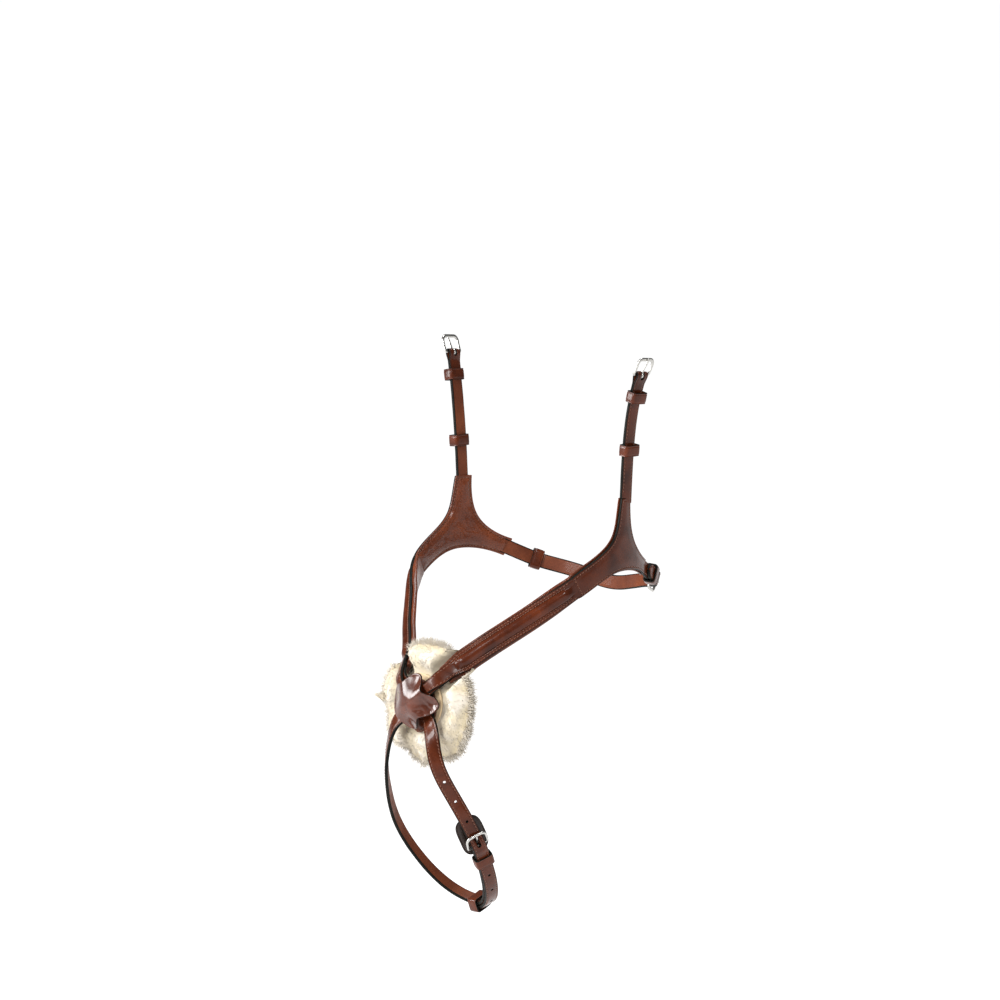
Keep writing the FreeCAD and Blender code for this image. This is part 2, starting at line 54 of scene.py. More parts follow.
# ---------------------------------------------------------------- sizes, in millimetres
STRAP = 13.0
THICK = 3.0
GAP = 0.15
REACH = 9.0
WIRE = 1.3
TOP_WIDTH = 19.0
TOP_THICK = 2.6
LINING_WIDTH = 22.0
LINING_THICK = 4.2
FRAME_INSIDE = 15.6
FRAME_LENGTH = 15.0
FRONT_CORNER, HEEL_CORNER = 4.5, 2.0
KEEPER_BAND = 10.0
LOWER_KEEPER_AT = {"left": 42.0, "right": 31.0}
PLATE_THICK = 3.0
KEEPER_WALL = 1.7
STITCH_PITCH = 3.1
STITCH_SHARE = 0.78     # of the pitch is thread, and the rest a gap
ROW_IN = 1.9            # rows of stitches lie this far in from a strap's edge

# ---------------------------------------------------------------- lines that the straps follow
NOSE_KEYS = [
    ((101.4, 115.0, 109.5), (0.98, -0.20, 0.0)), ((97.0, 98.0, 100.5), (0.95, -0.31, 0.0)),
    ((76.0, 69.0, 77.0), (0.52, -0.86, 0.0)), ((52.0, 42.5, 54.0), (0.40, -0.92, 0.0)),
    ((31.0, 20.0, 33.0), (0.31, -0.95, 0.0)), ((22.0, 7.0, 21.5), (0.22, -0.97, 0.0)),
    ((12.0, 0.6, 11.0), (0.05, -1.0, 0.0)),
]
CHEEK_KEYS = [
    ((101.7, 157.5, 175.5), (1.0, 0.0, 0.0)), ((104.5, 157.5, 217.0), (1.0, 0.0, 0.0)),
    ((110.0, 158.5, 257.0), (1.0, 0.0, 0.0)), ((116.5, 161.0, 284.0), (1.0, 0.0, 0.0)),
]
CHIN_SIDE = NOSE_KEYS + [
    ((0.0, 0.0, 0.0), (0.0, -1.0, 0.0)), ((-12.0, -0.1, -10.5), (-0.10, -0.99, 0.0)),
    ((-20.5, -2.7, -20.0), (-0.40, -0.92, 0.0)),
    ((-30.0, -5.5, -47.0), (-0.66, -0.75, 0.0)), ((-40.5, 5.5, -80.0), (-0.80, -0.60, 0.0)),
    ((-47.0, 22.0, -112.0), (-0.88, -0.45, -0.1)), ((-42.0, 43.0, -145.0), (-0.85, -0.2, -0.5)),
    ((-28.5, 62.0, -170.5), (-0.55, 0.15, -0.82)), ((-14.5, 73.0, -182.0), (-0.28, 0.30, -0.91)),
]
CROSSING_KEY, BOTTOM_KEY, BUCKLE_KEY = 7, 16, 20
BAR_ON_CHIN, BAR_ON_JAW = 14.5, 40.0
CHIN_MIDDLE = [((0.0, 78.0, -186.0), (0.0, 0.38, -0.92))]
JAW_SIDE = [
    ((91.6, 183.0, 114.5), (0.90, 0.42, 0.0)), ((84.0, 197.0, 108.0), (0.84, 0.54, 0.0)),
    ((71.0, 221.0, 96.0), (0.76, 0.62, -0.24)), ((40.0, 240.0, 87.0), (0.38, 0.90, -0.24)),
]
JAW_MIDDLE = [((0.0, 246.0, 80.0), (0.0, 1.0, -0.15))]


def mirrored(keys):
    """The same keys on the other side of the horse."""
    return [((-p[0], p[1], p[2]), (-o[0], o[1], o[2])) for p, o in keys]


def end_slope(marks, values):
    """The slope at the first of four points, on the cubic through them."""
    total = np.zeros(values.shape[1])
    for i in range(4):
        others = [j for j in range(4) if j != i]
        bottom = np.prod([marks[i] - marks[j] for j in others])
        top = sum(np.prod([marks[0] - marks[j] for j in others if j != k]) for k in others)
        total += values[i] * top / bottom
    return total


def spline_slopes(marks, values):
    """Slopes of the smooth cubic spline through the values at the marks."""
    count = len(marks)
    gaps = np.diff(marks)
    system = np.zeros((count, count))
    right = np.zeros_like(values)
    system[0, 0] = system[-1, -1] = 1.0
    right[0] = end_slope(marks[:4], values[:4])
    right[-1] = end_slope(marks[::-1][:4], values[::-1][:4])
    for i in range(1, count - 1):
        before, after = gaps[i - 1], gaps[i]
        system[i, i - 1:i + 2] = after, 2 * (before + after), before
        right[i] = 3 * (after * (values[i] - values[i - 1]) / before
                        + before * (values[i + 1] - values[i]) / after)
    return np.linalg.solve(system, right)


def runs(points):
    """How far along a row of points each one lies."""
    return np.concatenate([[0], np.cumsum(np.linalg.norm(np.diff(points, axis=0), axis=1))])


def on_spline(marks, values, slopes, place):
    """The value at a place on a spline, its slope over the span there, and the span's length."""
    span = int(np.clip(np.searchsorted(marks, place) - 1, 0, len(marks) - 2))
    gap = marks[span + 1] - marks[span]
    s = (place - marks[span]) / gap
    a, b = values[span], values[span + 1]
    m, n = slopes[span] * gap, slopes[span + 1] * gap
    value = (a * (1 + 2 * s) * (1 - s) ** 2 + m * s * (1 - s) ** 2
             + b * s * s * (3 - 2 * s) + n * s * s * (s - 1))
    ahead = 6 * s * (s - 1) * (a - b) + m * (1 - s) * (1 - 3 * s) + n * s * (3 * s - 2)
    return value, ahead, gap


class Line:
    """A smooth line through its keys, with a frame that turns evenly between them."""

    def __init__(self, keys):
        points = np.array([point for point, _ in keys], float)
        looks = np.array([look for _, look in keys], float)
        self.marks = runs(points)
        self.both = np.hstack([points, looks])
        self.slopes = spline_slopes(self.marks, self.both)
        self.places = np.linspace(0, self.marks[-1], 60 * len(keys))
        self.distances = runs(np.array([self.at(place)[0][:3] for place in self.places]))
        self.length = self.distances[-1]

    def at(self, place):
        """Value and slope of point and look at a place."""
        value, ahead, gap = on_spline(self.marks, self.both, self.slopes, place)
        return value, ahead / gap

    def key(self, index):
        """How far along the line one of its keys lies."""
        return float(np.interp(self.marks[index], self.places, self.distances))

    def frame(self, distance):
        """Point, and the along, across and outward directions, at a distance along the line."""
        place = float(np.interp(distance, self.distances, self.places))
        value, slope = self.at(place)
        along = Vector(slope[:3]).normalized()
        value[:3] += np.array(along) * min(distance, 0.0)
        across = Vector(value[3:]).cross(along).normalized()
        return Vector(value[:3]), along, across, along.cross(across)

    def placement(self, distance, rise=0.0, ahead=0.0):
        """A matrix whose X runs along the line, Y across it and Z outward."""
        point, along, across, out = self.frame(distance)
        turn = Matrix((along, across, out)).transposed().to_4x4()
        return Matrix.Translation(point + out * rise + along * ahead) @ turn


RIGHT_TO_LEFT = CHIN_SIDE + CHIN_MIDDLE + list(reversed(mirrored(CHIN_SIDE)))
chin = Line(RIGHT_TO_LEFT)
billet_line = Line(list(reversed(RIGHT_TO_LEFT)))
CROSSING = chin.key(CROSSING_KEY)
CHIN_BAR = chin.key(BUCKLE_KEY) - BAR_ON_CHIN
BILLET_BAR = billet_line.length - CHIN_BAR
JAW_KEYS = mirrored(JAW_SIDE) + JAW_MIDDLE + list(reversed(JAW_SIDE))
jaw = Line(JAW_KEYS)
jaw_back = Line(list(reversed(JAW_KEYS)))
JAW_BAR = jaw_back.key(1) + BAR_ON_JAW
FAR_BAR = jaw.length - JAW_BAR
cheeks = {"left": Line(CHEEK_KEYS), "right": Line(mirrored(CHEEK_KEYS))}


def buckle_place(line, bar_at):
    """Where a buckle's heel bar lies: X ahead of the strap, Y along the bar, Z outward."""
    return line.placement(bar_at - REACH, ahead=REACH)


PLACES = {f"{side}_cheek": buckle_place(line, line.length) for side, line in cheeks.items()}
PLACES["chin"] = buckle_place(chin, CHIN_BAR)
PLACES["jaw"] = buckle_place(jaw_back, JAW_BAR)
TILTS = {"left_cheek": 8.0, "right_cheek": 8.0, "chin": 18.0, "jaw": 15.0}


def between(table, at):
    """The value of a table of (place, value) rows at a place, smooth from row to row."""
    if at <= table[0][0]:
        return table[0][1]
    for (low, before), (high, after) in zip(table, table[1:]):
        if at <= high:
            share = (at - low) / (high - low)
            return before + (after - before) * share * share * (3 - 2 * share)
    return table[-1][1]


# ---------------------------------------------------------------- meshes
GRAIN, EDGE, BACK = 0, 1, 2


def put(name, data):
    """Puts a new object into the scene."""
    item = bpy.data.objects.new(name, data)
    bpy.context.collection.objects.link(item)
    return item


class Skin:
    """Points in millimetres and faces with a material number, gathered for one piece."""

    def __init__(self):
        self.points, self.faces, self.kinds = [], [], []

    def rings(self, rings, kinds, close=False, cap_kind=EDGE):
        """Skins a row of rings of points; close joins the last ring to the first."""
        first, count = len(self.points), len(rings[0])
        for ring in rings:
            self.points.extend(ring)
        spans = len(rings) if close else len(rings) - 1
        for i in range(spans):
            here, there = first + i * count, first + (i + 1) % len(rings) * count
            for j in range(count):
                k = (j + 1) % count
                self.faces.append((here + j, here + k, there + k, there + j))
                self.kinds.append(kinds[j] if j < len(kinds) else kinds[-1])
        if not close:
            for start, ring in ((first, rings[0]), (first + (len(rings) - 1) * count, rings[-1])):
                centre = len(self.points)
                self.points.append(sum(ring, Vector()) / count)
                for j in range(count):
                    self.faces.append((start + j, start + (j + 1) % count, centre))
                    self.kinds.append(cap_kind)

    def piece(self, name, materials, body="root", slot=None, replaces=()):
        """Makes the Blender object, with its normals outward and its faces smooth."""
        mesh = bpy.data.meshes.new(name)
        mesh.from_pydata([Vector(p) * MM for p in self.points], [], self.faces)
        for material in materials:
            mesh.materials.append(material)
        mesh.polygons.foreach_set("material_index", [min(k, len(materials) - 1) for k in self.kinds])
        work = bmesh.new()
        work.from_mesh(mesh)
        bmesh.ops.recalc_face_normals(work, faces=work.faces)
        work.to_mesh(mesh)
        work.free()
        mesh.polygons.foreach_set("use_smooth", [True] * len(mesh.polygons))
        item = put(name, mesh)
        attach(item, body)
        if replaces:
            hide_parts(*replaces)
        return item

    def threads(self, name, slot="strap_leather"):
        """Makes the Blender object of a row of stitches."""
        self.piece(name, [THREAD], "root", slot)


def both_halves(right, kinds):
    """A closed outline from its right half, given from the middle of the top to that of the back."""
    left = [(-side, rise) for side, rise in reversed(right[1:-1])]
    return right + left, kinds + list(reversed(kinds))


def rounded(corner_side, corner_rise, radius, start, end, steps=4):
    """Points round a corner, in degrees from the outward direction."""
    points = []
    for i in range(steps + 1):
        turn = math.radians(start + (end - start) * i / steps)
        points.append((corner_side + radius * math.sin(turn), corner_rise + radius * math.cos(turn)))
    return points


def within(right, limit):
    """Keeps a half outline's places in order and inside a limit, so all sections match."""
    kept = []
    for side, rise in right:
        last = kept[-1][0] if kept else -0.01
        kept.append((max(min(side, limit - 0.01), last + 0.01), rise))
    return kept


def edged(face, half, low, high, radius):
    """A strap's section from the right half of its face: the edge is rounded and the back flat."""
    right = within(face, half - radius)
    top = rounded(half - radius, high - radius, radius, 0, 90)
    under = rounded(half - radius, low + radius, radius, 90, 180)
    kinds = [GRAIN] * (len(right) + 1) + [EDGE] * (len(top) + len(under) - 2) + [BACK, BACK]
    right += top + under + [(half * 0.4, low), (0.0, low)]
    return both_halves(right, kinds[:len(right) - 1])


def strap_outline(half, low, high, inset=0.0, crease=1.9, radius=0.95, crown=0.25):
    """A strap's section: a crowned face with a crease along each edge, and rounded dyed edges."""
    half, low, high = half - inset, low + inset, high - inset
    radius = max(0.12, min(radius - inset, (high - low) / 2 - 0.02, half * 0.45))
    line, depth = half - min(crease, half * 0.4), 0.20 * min(1.0, half / 6)
    face = [(0.0, high + crown), (line * 0.35, high + crown * 0.97), (line * 0.7, high + crown * 0.8),
            (line - 0.55, high + crown * 0.4), (line - 0.2, high - depth * 0.7), (line, high - depth),
            (line + 0.2, high - depth * 0.7), (line + 0.5, high)]
    return edged(face, half, low, high, radius)


def sweep(skin, line, start, end, outline, step=1.6, wobble=0.10, round_ends=(True, True)):
    """Skins a strap along a line; outline(distance, inset) gives its section and its kinds."""
    stops = list(np.linspace(start, end, max(3, int((end - start) / step) + 1)))
    soft = 0.9
    steps = [(d, soft - math.sqrt(soft ** 2 - (soft - d) ** 2)) for d in (0.0, 0.12, 0.32, 0.6)]
    stations = [(start + d, inset) for d, inset in steps * round_ends[0]]
    stations += [(d, 0.0) for d in stops
                 if start + soft * round_ends[0] <= d <= end - soft * round_ends[1]]
    stations += [(end - d, inset) for d, inset in steps[::-1] * round_ends[1]]
    rings = []
    for distance, inset in stations:
        point, _, across, out = line.frame(distance)
        points, kinds = outline(distance, inset)
        ring = []
        for side, rise in points:
            spot = point + across * side + out * rise
            ring.append(spot + out * wobble * noise.noise(spot * 0.09))
        rings.append(ring)
    skin.rings(rings, kinds)


def turns(count):
    """Evenly spaced turns round a ring."""
    return [math.tau * k / count for k in range(count)]


def stitch(skin, matrix, length, radius=0.30):
    """One thread stitch lying along the matrix's X, its ends dipping into the leather."""
    rings = []
    for share, swell, dip in ((-0.5, 0.35, -0.30), (-0.36, 0.85, -0.06), (-0.12, 1.0, 0.06),
                              (0.12, 1.0, 0.06), (0.36, 0.85, -0.06), (0.5, 0.35, -0.30)):
        rings.append([matrix @ Vector((share * length, radius * swell * math.cos(a),
                                       dip + radius * 0.8 * swell * math.sin(a)))
                      for a in turns(6)])
    skin.rings(rings, [0])


def stitch_between(skin, behind, ahead, out, length, radius=0.30, slant=0.0):
    """A stitch in the middle between two points, facing outward."""
    along = (ahead - behind).normalized()
    out = (out - along * out.dot(along)).normalized()
    turn = Matrix((along, out.cross(along), out)).transposed().to_4x4()
    place = Matrix.Translation((behind + ahead) / 2) @ turn @ Matrix.Rotation(slant, 4, "Z")
    stitch(skin, place, length, radius)


def stitch_row(skin, line, start, end, side, rise, slant=9.0, pitch=STITCH_PITCH):
    """A row of slanted stitches along a line; side and rise are functions of the distance."""
    count = max(1, int((end - start) / pitch))
    for number in range(count):
        distance = start + (number + 0.5) * (end - start) / count
        place = line.placement(distance)
        turn = Matrix.Rotation(math.radians(slant), 4, "Z")
        spot = place @ Matrix.Translation(Vector((0, side(distance), rise(distance)))) @ turn
        spot.translation += place.to_3x3() @ Vector((0, 0, 0.10 * noise.noise(spot.translation * 0.09)))
        stitch(skin, spot, pitch * STITCH_SHARE)


def cut(item, tools, kind=EDGE):
    """Cuts a tool skin's closed shapes out of a piece, and gives the walls a material number."""
    tools.kinds = [kind] * len(tools.kinds)
    slots = [slot.material for slot in item.material_slots]
    tool = tools.piece("cutter", slots)
    change = item.modifiers.new("cut", "BOOLEAN")
    change.operation = "DIFFERENCE"
    change.solver = "EXACT"
    change.object = tool
    settle(item)
    bpy.data.objects.remove(tool)


def settle(item):
    """Replaces a piece's mesh by what its modifiers make of it."""
    graph = bpy.context.evaluated_depsgraph_get()
    mesh = bpy.data.meshes.new_from_object(item.evaluated_get(graph))
    item.modifiers.clear()
    item.data = mesh


def rounded_loop(half, low, high, corner, steps=5, bulge=0.0):
    """A closed path of (across, rise, turn) round a rectangle with round corners, starting on top."""
    path = []
    for across, rise, start in ((half, high, 0), (half, low, 90), (-half, low, 180), (-half, high, 270)):
        sign, up = math.copysign(1, across), math.copysign(1, rise - (low + high) / 2)
        for i in range(steps + 1):
            turn = math.radians(start + 90 * i / steps)
            path.append((across - sign * corner + corner * math.sin(turn),
                         rise - up * corner + corner * math.cos(turn), turn))
    full = []
    for (a, b, turn), (c, d, after) in zip(path, path[1:] + path[:1]):
        full.append((a, b, turn))
        gap = math.hypot(c - a, d - b)
        pieces = max(1, int(gap / 1.5))
        if after < turn:
            after += math.tau
        full += [(a + (c - a) * i / pieces, b + (d - b) * i / pieces, turn + (after - turn) * i / pieces)
                 for i in range(1, pieces)]
    return [(a, b + bulge * (1 - (a / half) ** 2) * (b > 0), turn) for a, b, turn in full]


def keeper(name, place, body, side=0.6, low=2.15, high=5.3):
    """A leather loop round a strap: side, low and high give the room that it leaves inside."""
    wall = KEEPER_WALL - 0.1
    skin = Skin()
    rings, kinds = [], []
    loop = rounded_loop(STRAP / 2 + side + wall / 2, -low - wall / 2, high + wall / 2, 1.9, bulge=0.35)
    for across, rise, turn in loop:
        points, kinds = strap_outline(KEEPER_BAND / 2, -wall / 2, wall / 2, crease=1.25, radius=0.55,
                                      crown=0.12)
        rings.append([place @ Vector((along, across + up * math.sin(turn), rise + up * math.cos(turn)))
                      for along, up in points])
    skin.rings(rings, kinds, close=True)
    return skin.piece(name + "_loop", LEATHER, body, "strap_leather", [name])


def buckle(name, place, tilt):
    """A wire frame with a flattened front bar, and a tapered tongue bent over it."""
    tilted = place @ Matrix.Rotation(-math.radians(tilt), 4, "Y")
    half = FRAME_INSIDE / 2 + WIRE
    path = []
    for far, across, corner, start in ((FRAME_LENGTH, half, FRONT_CORNER, 0),
                                       (0.0, half, HEEL_CORNER, 90), (0.0, -half, HEEL_CORNER, 180),
                                       (FRAME_LENGTH, -half, FRONT_CORNER, 270)):
        ahead, sign = (1 if far else -1), math.copysign(1, across)
        for i in range(9):
            turn = math.radians(start + 90 * i / 8)
            path.append((far - ahead * corner + corner * math.cos(turn),
                         across - sign * corner + corner * math.sin(turn)))
    dense = []
    for (a, b), (c, d) in zip(path, path[1:] + path[:1]):
        pieces = max(1, int(math.hypot(c - a, d - b) / 0.9))
        dense += [(a + (c - a) * i / pieces, b + (d - b) * i / pieces) for i in range(pieces)]
    rings = []
    for i, (x, y) in enumerate(dense):
        before, after = dense[i - 1], dense[(i + 1) % len(dense)]
        ahead = Vector((after[0] - before[0], after[1] - before[1], 0)).normalized()
        side = Vector((ahead.y, -ahead.x, 0))
        front = between([(FRAME_LENGTH - 3, 0.0), (FRAME_LENGTH - 0.5, 1.0)], x)
        wide = WIRE * (1.0 + 0.25 * front)
        arch = 0.5 * math.sin(math.pi * min(max(x / FRAME_LENGTH, 0), 1))
        rings.append([tilted @ (Vector((x, y, arch)) + side * wide * math.cos(a)
                                + Vector((0, 0, 1.12 * math.sin(a))))
                      for a in turns(14)])
    frame_skin = Skin()
    frame_skin.rings(rings, [0], close=True)
    frame_skin.piece(name + "_buckle", [STEEL], name + "_frame_swing", "steel", [name + "_frame"])

    tongue = Skin()
    ring = 2.45                 # the middle of the ring that grips the heel bar
    rings = []
    for i in range(28):
        turn = math.tau * i / 28
        centre = Vector((math.cos(turn), 0, math.sin(turn))) * ring
        rings.append([tilted @ (centre * (1 + 0.36 * math.cos(a)) + Vector((0, 1.15 * math.sin(a), 0)))
                      for a in turns(12)])
    tongue.rings(rings, [0], close=True)
    # The tongue's middle ahead and above, and half its width and height, from ring to tip.
    line = [(1.9, 0.5, 1.25, 0.85), (3.2, 0.75, 1.2, 0.88), (5.5, 1.0, 1.1, 0.86),
            (8.5, 1.45, 1.0, 0.84), (11.5, 1.95, 0.95, 0.8), (13.5, 2.3, 0.9, 0.76),
            (15.2, 2.45, 0.85, 0.7), (16.3, 2.25, 0.75, 0.6), (16.9, 2.05, 0.45, 0.4)]
    rings = []
    for i in range(41):
        at = i / 40 * (len(line) - 1)
        k = min(int(at), len(line) - 2)
        x, z, wide, tall = (p + (q - p) * (at - k) for p, q in zip(line[k], line[k + 1]))
        rings.append([tilted @ Vector((x, wide * math.cos(a), z + tall * math.sin(a)))
                      for a in turns(12)])
    tongue.rings(rings, [0])
    tongue.piece(name + "_pin", [STEEL], name + "_tongue_swing", "steel", [name + "_tongue"])


def folded_end(skin, line, bar_at, reach):
    """The end of a strap: it goes round the buckle's bar and back under itself for a reach."""
    layer, mid = 1.5, 2.34
    path = []
    for x in np.arange(-reach, -REACH, 1.6):
        path.append((float(x), layer / 2 + 0.05, 0.0))
    for x in np.arange(-REACH, -0.4, 0.8):
        share = (x + REACH) / REACH
        rise = layer / 2 + 0.05 + (mid - layer / 2) * share * share * (3 - 2 * share)
        slope = (mid - layer / 2) * 6 * share * (1 - share) / REACH
        path.append((float(x), rise, -math.atan(slope)))
    path += [(mid * math.sin(t), mid * math.cos(t), t) for t in np.linspace(0.05, math.pi - 0.05, 15)]
    path += [(x, -z, math.pi - t) for x, z, t in reversed(path[:-15])]
    rings = []
    for x, z, turn in path:
        spot = line.placement(bar_at + min(x, -REACH), ahead=max(0.0, x + REACH))
        points, kinds = strap_outline(STRAP / 2, -layer / 2, layer / 2, radius=0.6)
        rings.append([spot @ Vector((up * math.sin(turn), across, z + up * math.cos(turn)))
                      for across, up in points])
    skin.rings(rings, kinds)


def slot_tool(skin, place, start, end, half, low=-6.0, high=9.0):
    """A round-ended upright slot, as a shape to cut with."""
    outline = [(end - half + half * math.cos(a), half * math.sin(a))
               for a in np.linspace(-math.pi / 2, math.pi / 2, 9)]
    outline += [(start + half - half * math.cos(a), -half * math.sin(a))
                for a in np.linspace(-math.pi / 2, math.pi / 2, 9)]
    skin.rings([[place @ Vector((x, y, z)) for x, y in outline] for z in (low, high)], [0])


def tail(end, length=7.5):
    """Half the width of a strap that ends in a rounded point."""
    def half(distance):
        """Half the width at a distance."""
        ahead = max(0.0, distance - (end - length)) / length
        return STRAP / 2 * max(0.06, (1 - ahead ** 2.2)) ** 0.55
    return half


# ---------------------------------------------------------------- materials
class Look:
    """A material round one principled shader, with short ways to add nodes to it."""

    def __init__(self, name, **sockets):
        self.material = bpy.data.materials.new(name)
        self.material.use_nodes = True
        self.tree = self.material.node_tree
        self.shader = self.tree.nodes["Principled BSDF"]
        for socket, value in sockets.items():
            self.shader.inputs[socket.replace("_", " ")].default_value = value
        self.place = self.tree.nodes.new("ShaderNodeTexCoord").outputs["Object"]
        self.normal = None

    def join(self, socket, value):
        """Gives a socket its value, or joins an output to it."""
        if isinstance(value, bpy.types.NodeSocket):
            self.tree.links.new(value, socket)
        else:
            socket.default_value = value

    def node(self, kind, output, **inputs):
        """Adds a node; inputs are values or outputs to join to it."""
        node = self.tree.nodes.new(kind)
        for name, value in inputs.items():
            self.join(node.inputs[name.replace("_", " ")], value)
        return node.outputs[output]

    def noise(self, per_metre, detail=3.0, roughness=0.55, distortion=0.0):
        """Soft noise with its spots this many to the metre."""
        return self.node("ShaderNodeTexNoise", "Fac", Vector=self.place, Scale=per_metre,
                         Detail=detail, Roughness=roughness, Distortion=distortion)

    def cells(self, per_metre, feature="F1"):
        """Distances in a pattern of cells."""
        output = self.node("ShaderNodeTexVoronoi", "Distance", Vector=self.place, Scale=per_metre)
        output.node.feature = feature
        return output

    def ramp(self, value, low, high, bottom=0.0, top=1.0):
        """Maps a value between low and high to a number between bottom and top."""
        return self.node("ShaderNodeMapRange", "Result", Value=value, From_Min=low, From_Max=high,
                         To_Min=bottom, To_Max=top)

    def mix(self, share, first, second):
        """A colour between two colours."""
        node = self.tree.nodes.new("ShaderNodeMix")
        node.data_type = "RGBA"
        colours = [s for s in node.inputs if s.type == "RGBA"]
        for socket, value in ((node.inputs[0], share), (colours[0], first), (colours[1], second)):
            self.join(socket, value)
        return [s for s in node.outputs if s.type == "RGBA"][0]

    def bump(self, height, depth, strength=1.0):
        """Adds relief this many metres deep."""
        extra = {"Normal": self.normal} if self.normal else {}
        self.normal = self.node("ShaderNodeBump", "Normal", Height=height, Distance=depth,
                                Strength=strength, **extra)
        self.tree.links.new(self.normal, self.shader.inputs["Normal"])

    def set(self, socket, output):
        """Joins an output to one of the shader's sockets."""
        self.tree.links.new(output, self.shader.inputs[socket])


def colour(red, green, blue):
    """A colour from its everyday 0 to 255 values."""
    return tuple(((v / 255 + 0.055) / 1.055) ** 2.4 if v > 10 else v / 255 / 12.92
                 for v in (red, green, blue)) + (1.0,)


def leather(name, dark, light, rough, pores=1500.0, relief=0.00006, coat=0.3, shine=0.32,
            polish=0.1):
    """Dyed leather: clouded colour, darker pores, a fine grain and an uneven polish."""
    look = Look(name, Coat_Weight=coat, Coat_Roughness=polish, IOR=1.45, Specular_IOR_Level=shine)
    clouds = look.noise(38.0, 4.0, 0.6, 0.4)
    fine = look.noise(900.0, 3.0)
    pits = look.cells(pores)
    base = look.mix(look.ramp(clouds, 0.32, 0.68), dark, light)
    base = look.mix(look.ramp(fine, 0.35, 0.75, 0.0, 0.35), base, dark)
    base = look.mix(look.ramp(pits, 0.05, 0.42, 0.35, 0.0), base,
                    tuple(0.35 * v for v in dark[:3]) + (1.0,))
    # Lighter on sharp convex edges and ridges, where the mesh is pointy.
    convexity = look.node("ShaderNodeNewGeometry", "Pointiness")
    convex_edge_colour = tuple(1.5 * v for v in light[:3]) + (1.0,)
    base = look.mix(look.ramp(convexity, 0.515, 0.60, 0.0, 0.2), base, convex_edge_colour)
    look.set("Base Color", base)
    look.set("Roughness", look.ramp(look.noise(120.0, 4.0), 0.3, 0.7, rough - 0.07, rough + 0.09))
    look.bump(look.cells(pores, "DISTANCE_TO_EDGE"), relief, 0.55)
    look.bump(look.noise(300.0, 5.0, 0.6), relief * 1.5, 0.5)
    return look.material


grain = leather("bridle_leather", colour(54, 21, 9), colour(94, 42, 20), 0.24, coat=0.22,
                shine=0.16)
dyed = leather("dyed_edge", colour(8, 9, 7), colour(20, 20, 15), 0.5, coat=0.0, shine=0.12)
flesh = leather("strap_back", colour(86, 40, 21), colour(116, 59, 32), 0.5, coat=0.04, shine=0.2)
boss = leather("moulded_leather", colour(50, 20, 11), colour(92, 43, 25), 0.24, coat=0.75, shine=0.2,
               polish=0.17)
pebbled = leather("lining_leather", colour(74, 31, 14), colour(112, 54, 27), 0.34, pores=560.0,
                  relief=0.0013, coat=0.35, shine=0.2)
padding = leather("guard_leather", colour(27, 16, 11), colour(48, 29, 20), 0.36, pores=900.0,
                  relief=0.0003, coat=0.15)
stuffing = leather("filler_leather", colour(95, 60, 40), colour(120, 80, 55), 0.7, coat=0.0)
skin_side = leather("hide_back", colour(190, 165, 130), colour(214, 192, 158), 0.8, coat=0.0)
LEATHER = [grain, dyed, flesh]


def thread_look():
    """Waxed sewing thread, with the twist of its strands."""
    look = Look("thread", Roughness=0.5, Sheen_Weight=0.2)
    twist = look.noise(2600.0, 2.0)
    look.set("Base Color", look.mix(look.ramp(twist, 0.35, 0.65), colour(84, 46, 29), colour(134, 84, 56)))
    look.bump(twist, 0.0001, 0.6)
    return look.material


def steel_look():
    """Polished stainless steel, with fine rubbing marks."""
    look = Look("stainless_steel", Metallic=1.0)
    marks = look.noise(700.0, 5.0, 0.7, 1.5)
    look.set("Base Color", look.mix(look.ramp(marks, 0.3, 0.7), (0.42, 0.41, 0.39, 1), (0.58, 0.57, 0.54, 1)))
    look.set("Roughness", look.ramp(look.noise(160.0, 5.0), 0.3, 0.75, 0.2, 0.34))
    look.bump(marks, 0.00002, 0.5)
    return look.material


def wool_look():
    """Sheepskin wool: cream, darkened towards tan as painted shade where it parts, at the roots of its locks
    and deep inside it, and tanner along its rim.
    """
    look = Look("sheepskin_wool", Roughness=0.9, Sheen_Weight=0.12, Sheen_Roughness=0.5,
                Specular_IOR_Level=0.1)
    # The attribute read here holds painted shade in the partings, at the roots of the locks and deep inside
    # the wool, and also makes the rim and the stray lock tanner.
    tan_and_painted_shade = look.node("ShaderNodeAttribute", "Fac")
    tan_and_painted_shade.node.attribute_name = "tan_and_painted_shade"
    shade = look.mix(look.ramp(look.noise(85.0, 4.0, 0.6), 0.35, 0.7, 0.0, 0.4),
                     colour(204, 197, 187), colour(198, 187, 167))
    look.set("Base Color", look.mix(tan_and_painted_shade, shade, colour(184, 168, 130)))
    look.bump(look.noise(700.0, 5.0, 0.6, 1.0), 0.0003, 0.4)
    return look.material


THREAD, STEEL, WOOL = thread_look(), steel_look(), wool_look()
CAD_LOOKS = {"strap_leather": grain, "boss_leather": boss, "lining_leather": pebbled,
             "filler": stuffing, "hide": skin_side, "wool": WOOL, "steel": STEEL}


# ---------------------------------------------------------------- straps
UNDER_PLATE = 6.0       # how far a strap's end runs in between a cheek plate and its lining
FIRST_STITCH = 4.0      # a row of stitches starts this far past a cheek plate
FOLD_LONG, FOLD_SHORT = 19.0, 15.0      # how far a folded end is sewn back from its buckle's bar
KEEPER_BACK = 20.0      # the cheek straps' fixed keepers lie this far below the buckle's bar
CHIN_KEEPER_BACK, JAW_KEEPER_BACK = 16.0, 17.0
CHIN_START = CROSSING - 42      # both chin straps start here, under the tips of the nose straps
CHIN_ROWS = CROSSING + 16       # their stitches start where they leave the rosette
CHIN_TAIL, JAW_TAIL = 108.0, 33.0       # how far the billets run past their buckle's bar
SLOT_BACK, SLOT_AHEAD, SLOT_HALF = -4.2, 4.0, 1.8
TONGUE_SLOT, TONGUE_HALF = 5.2, 1.9     # half the length and half the width of a tongue's long hole
HOLE_RADIUS = 1.3
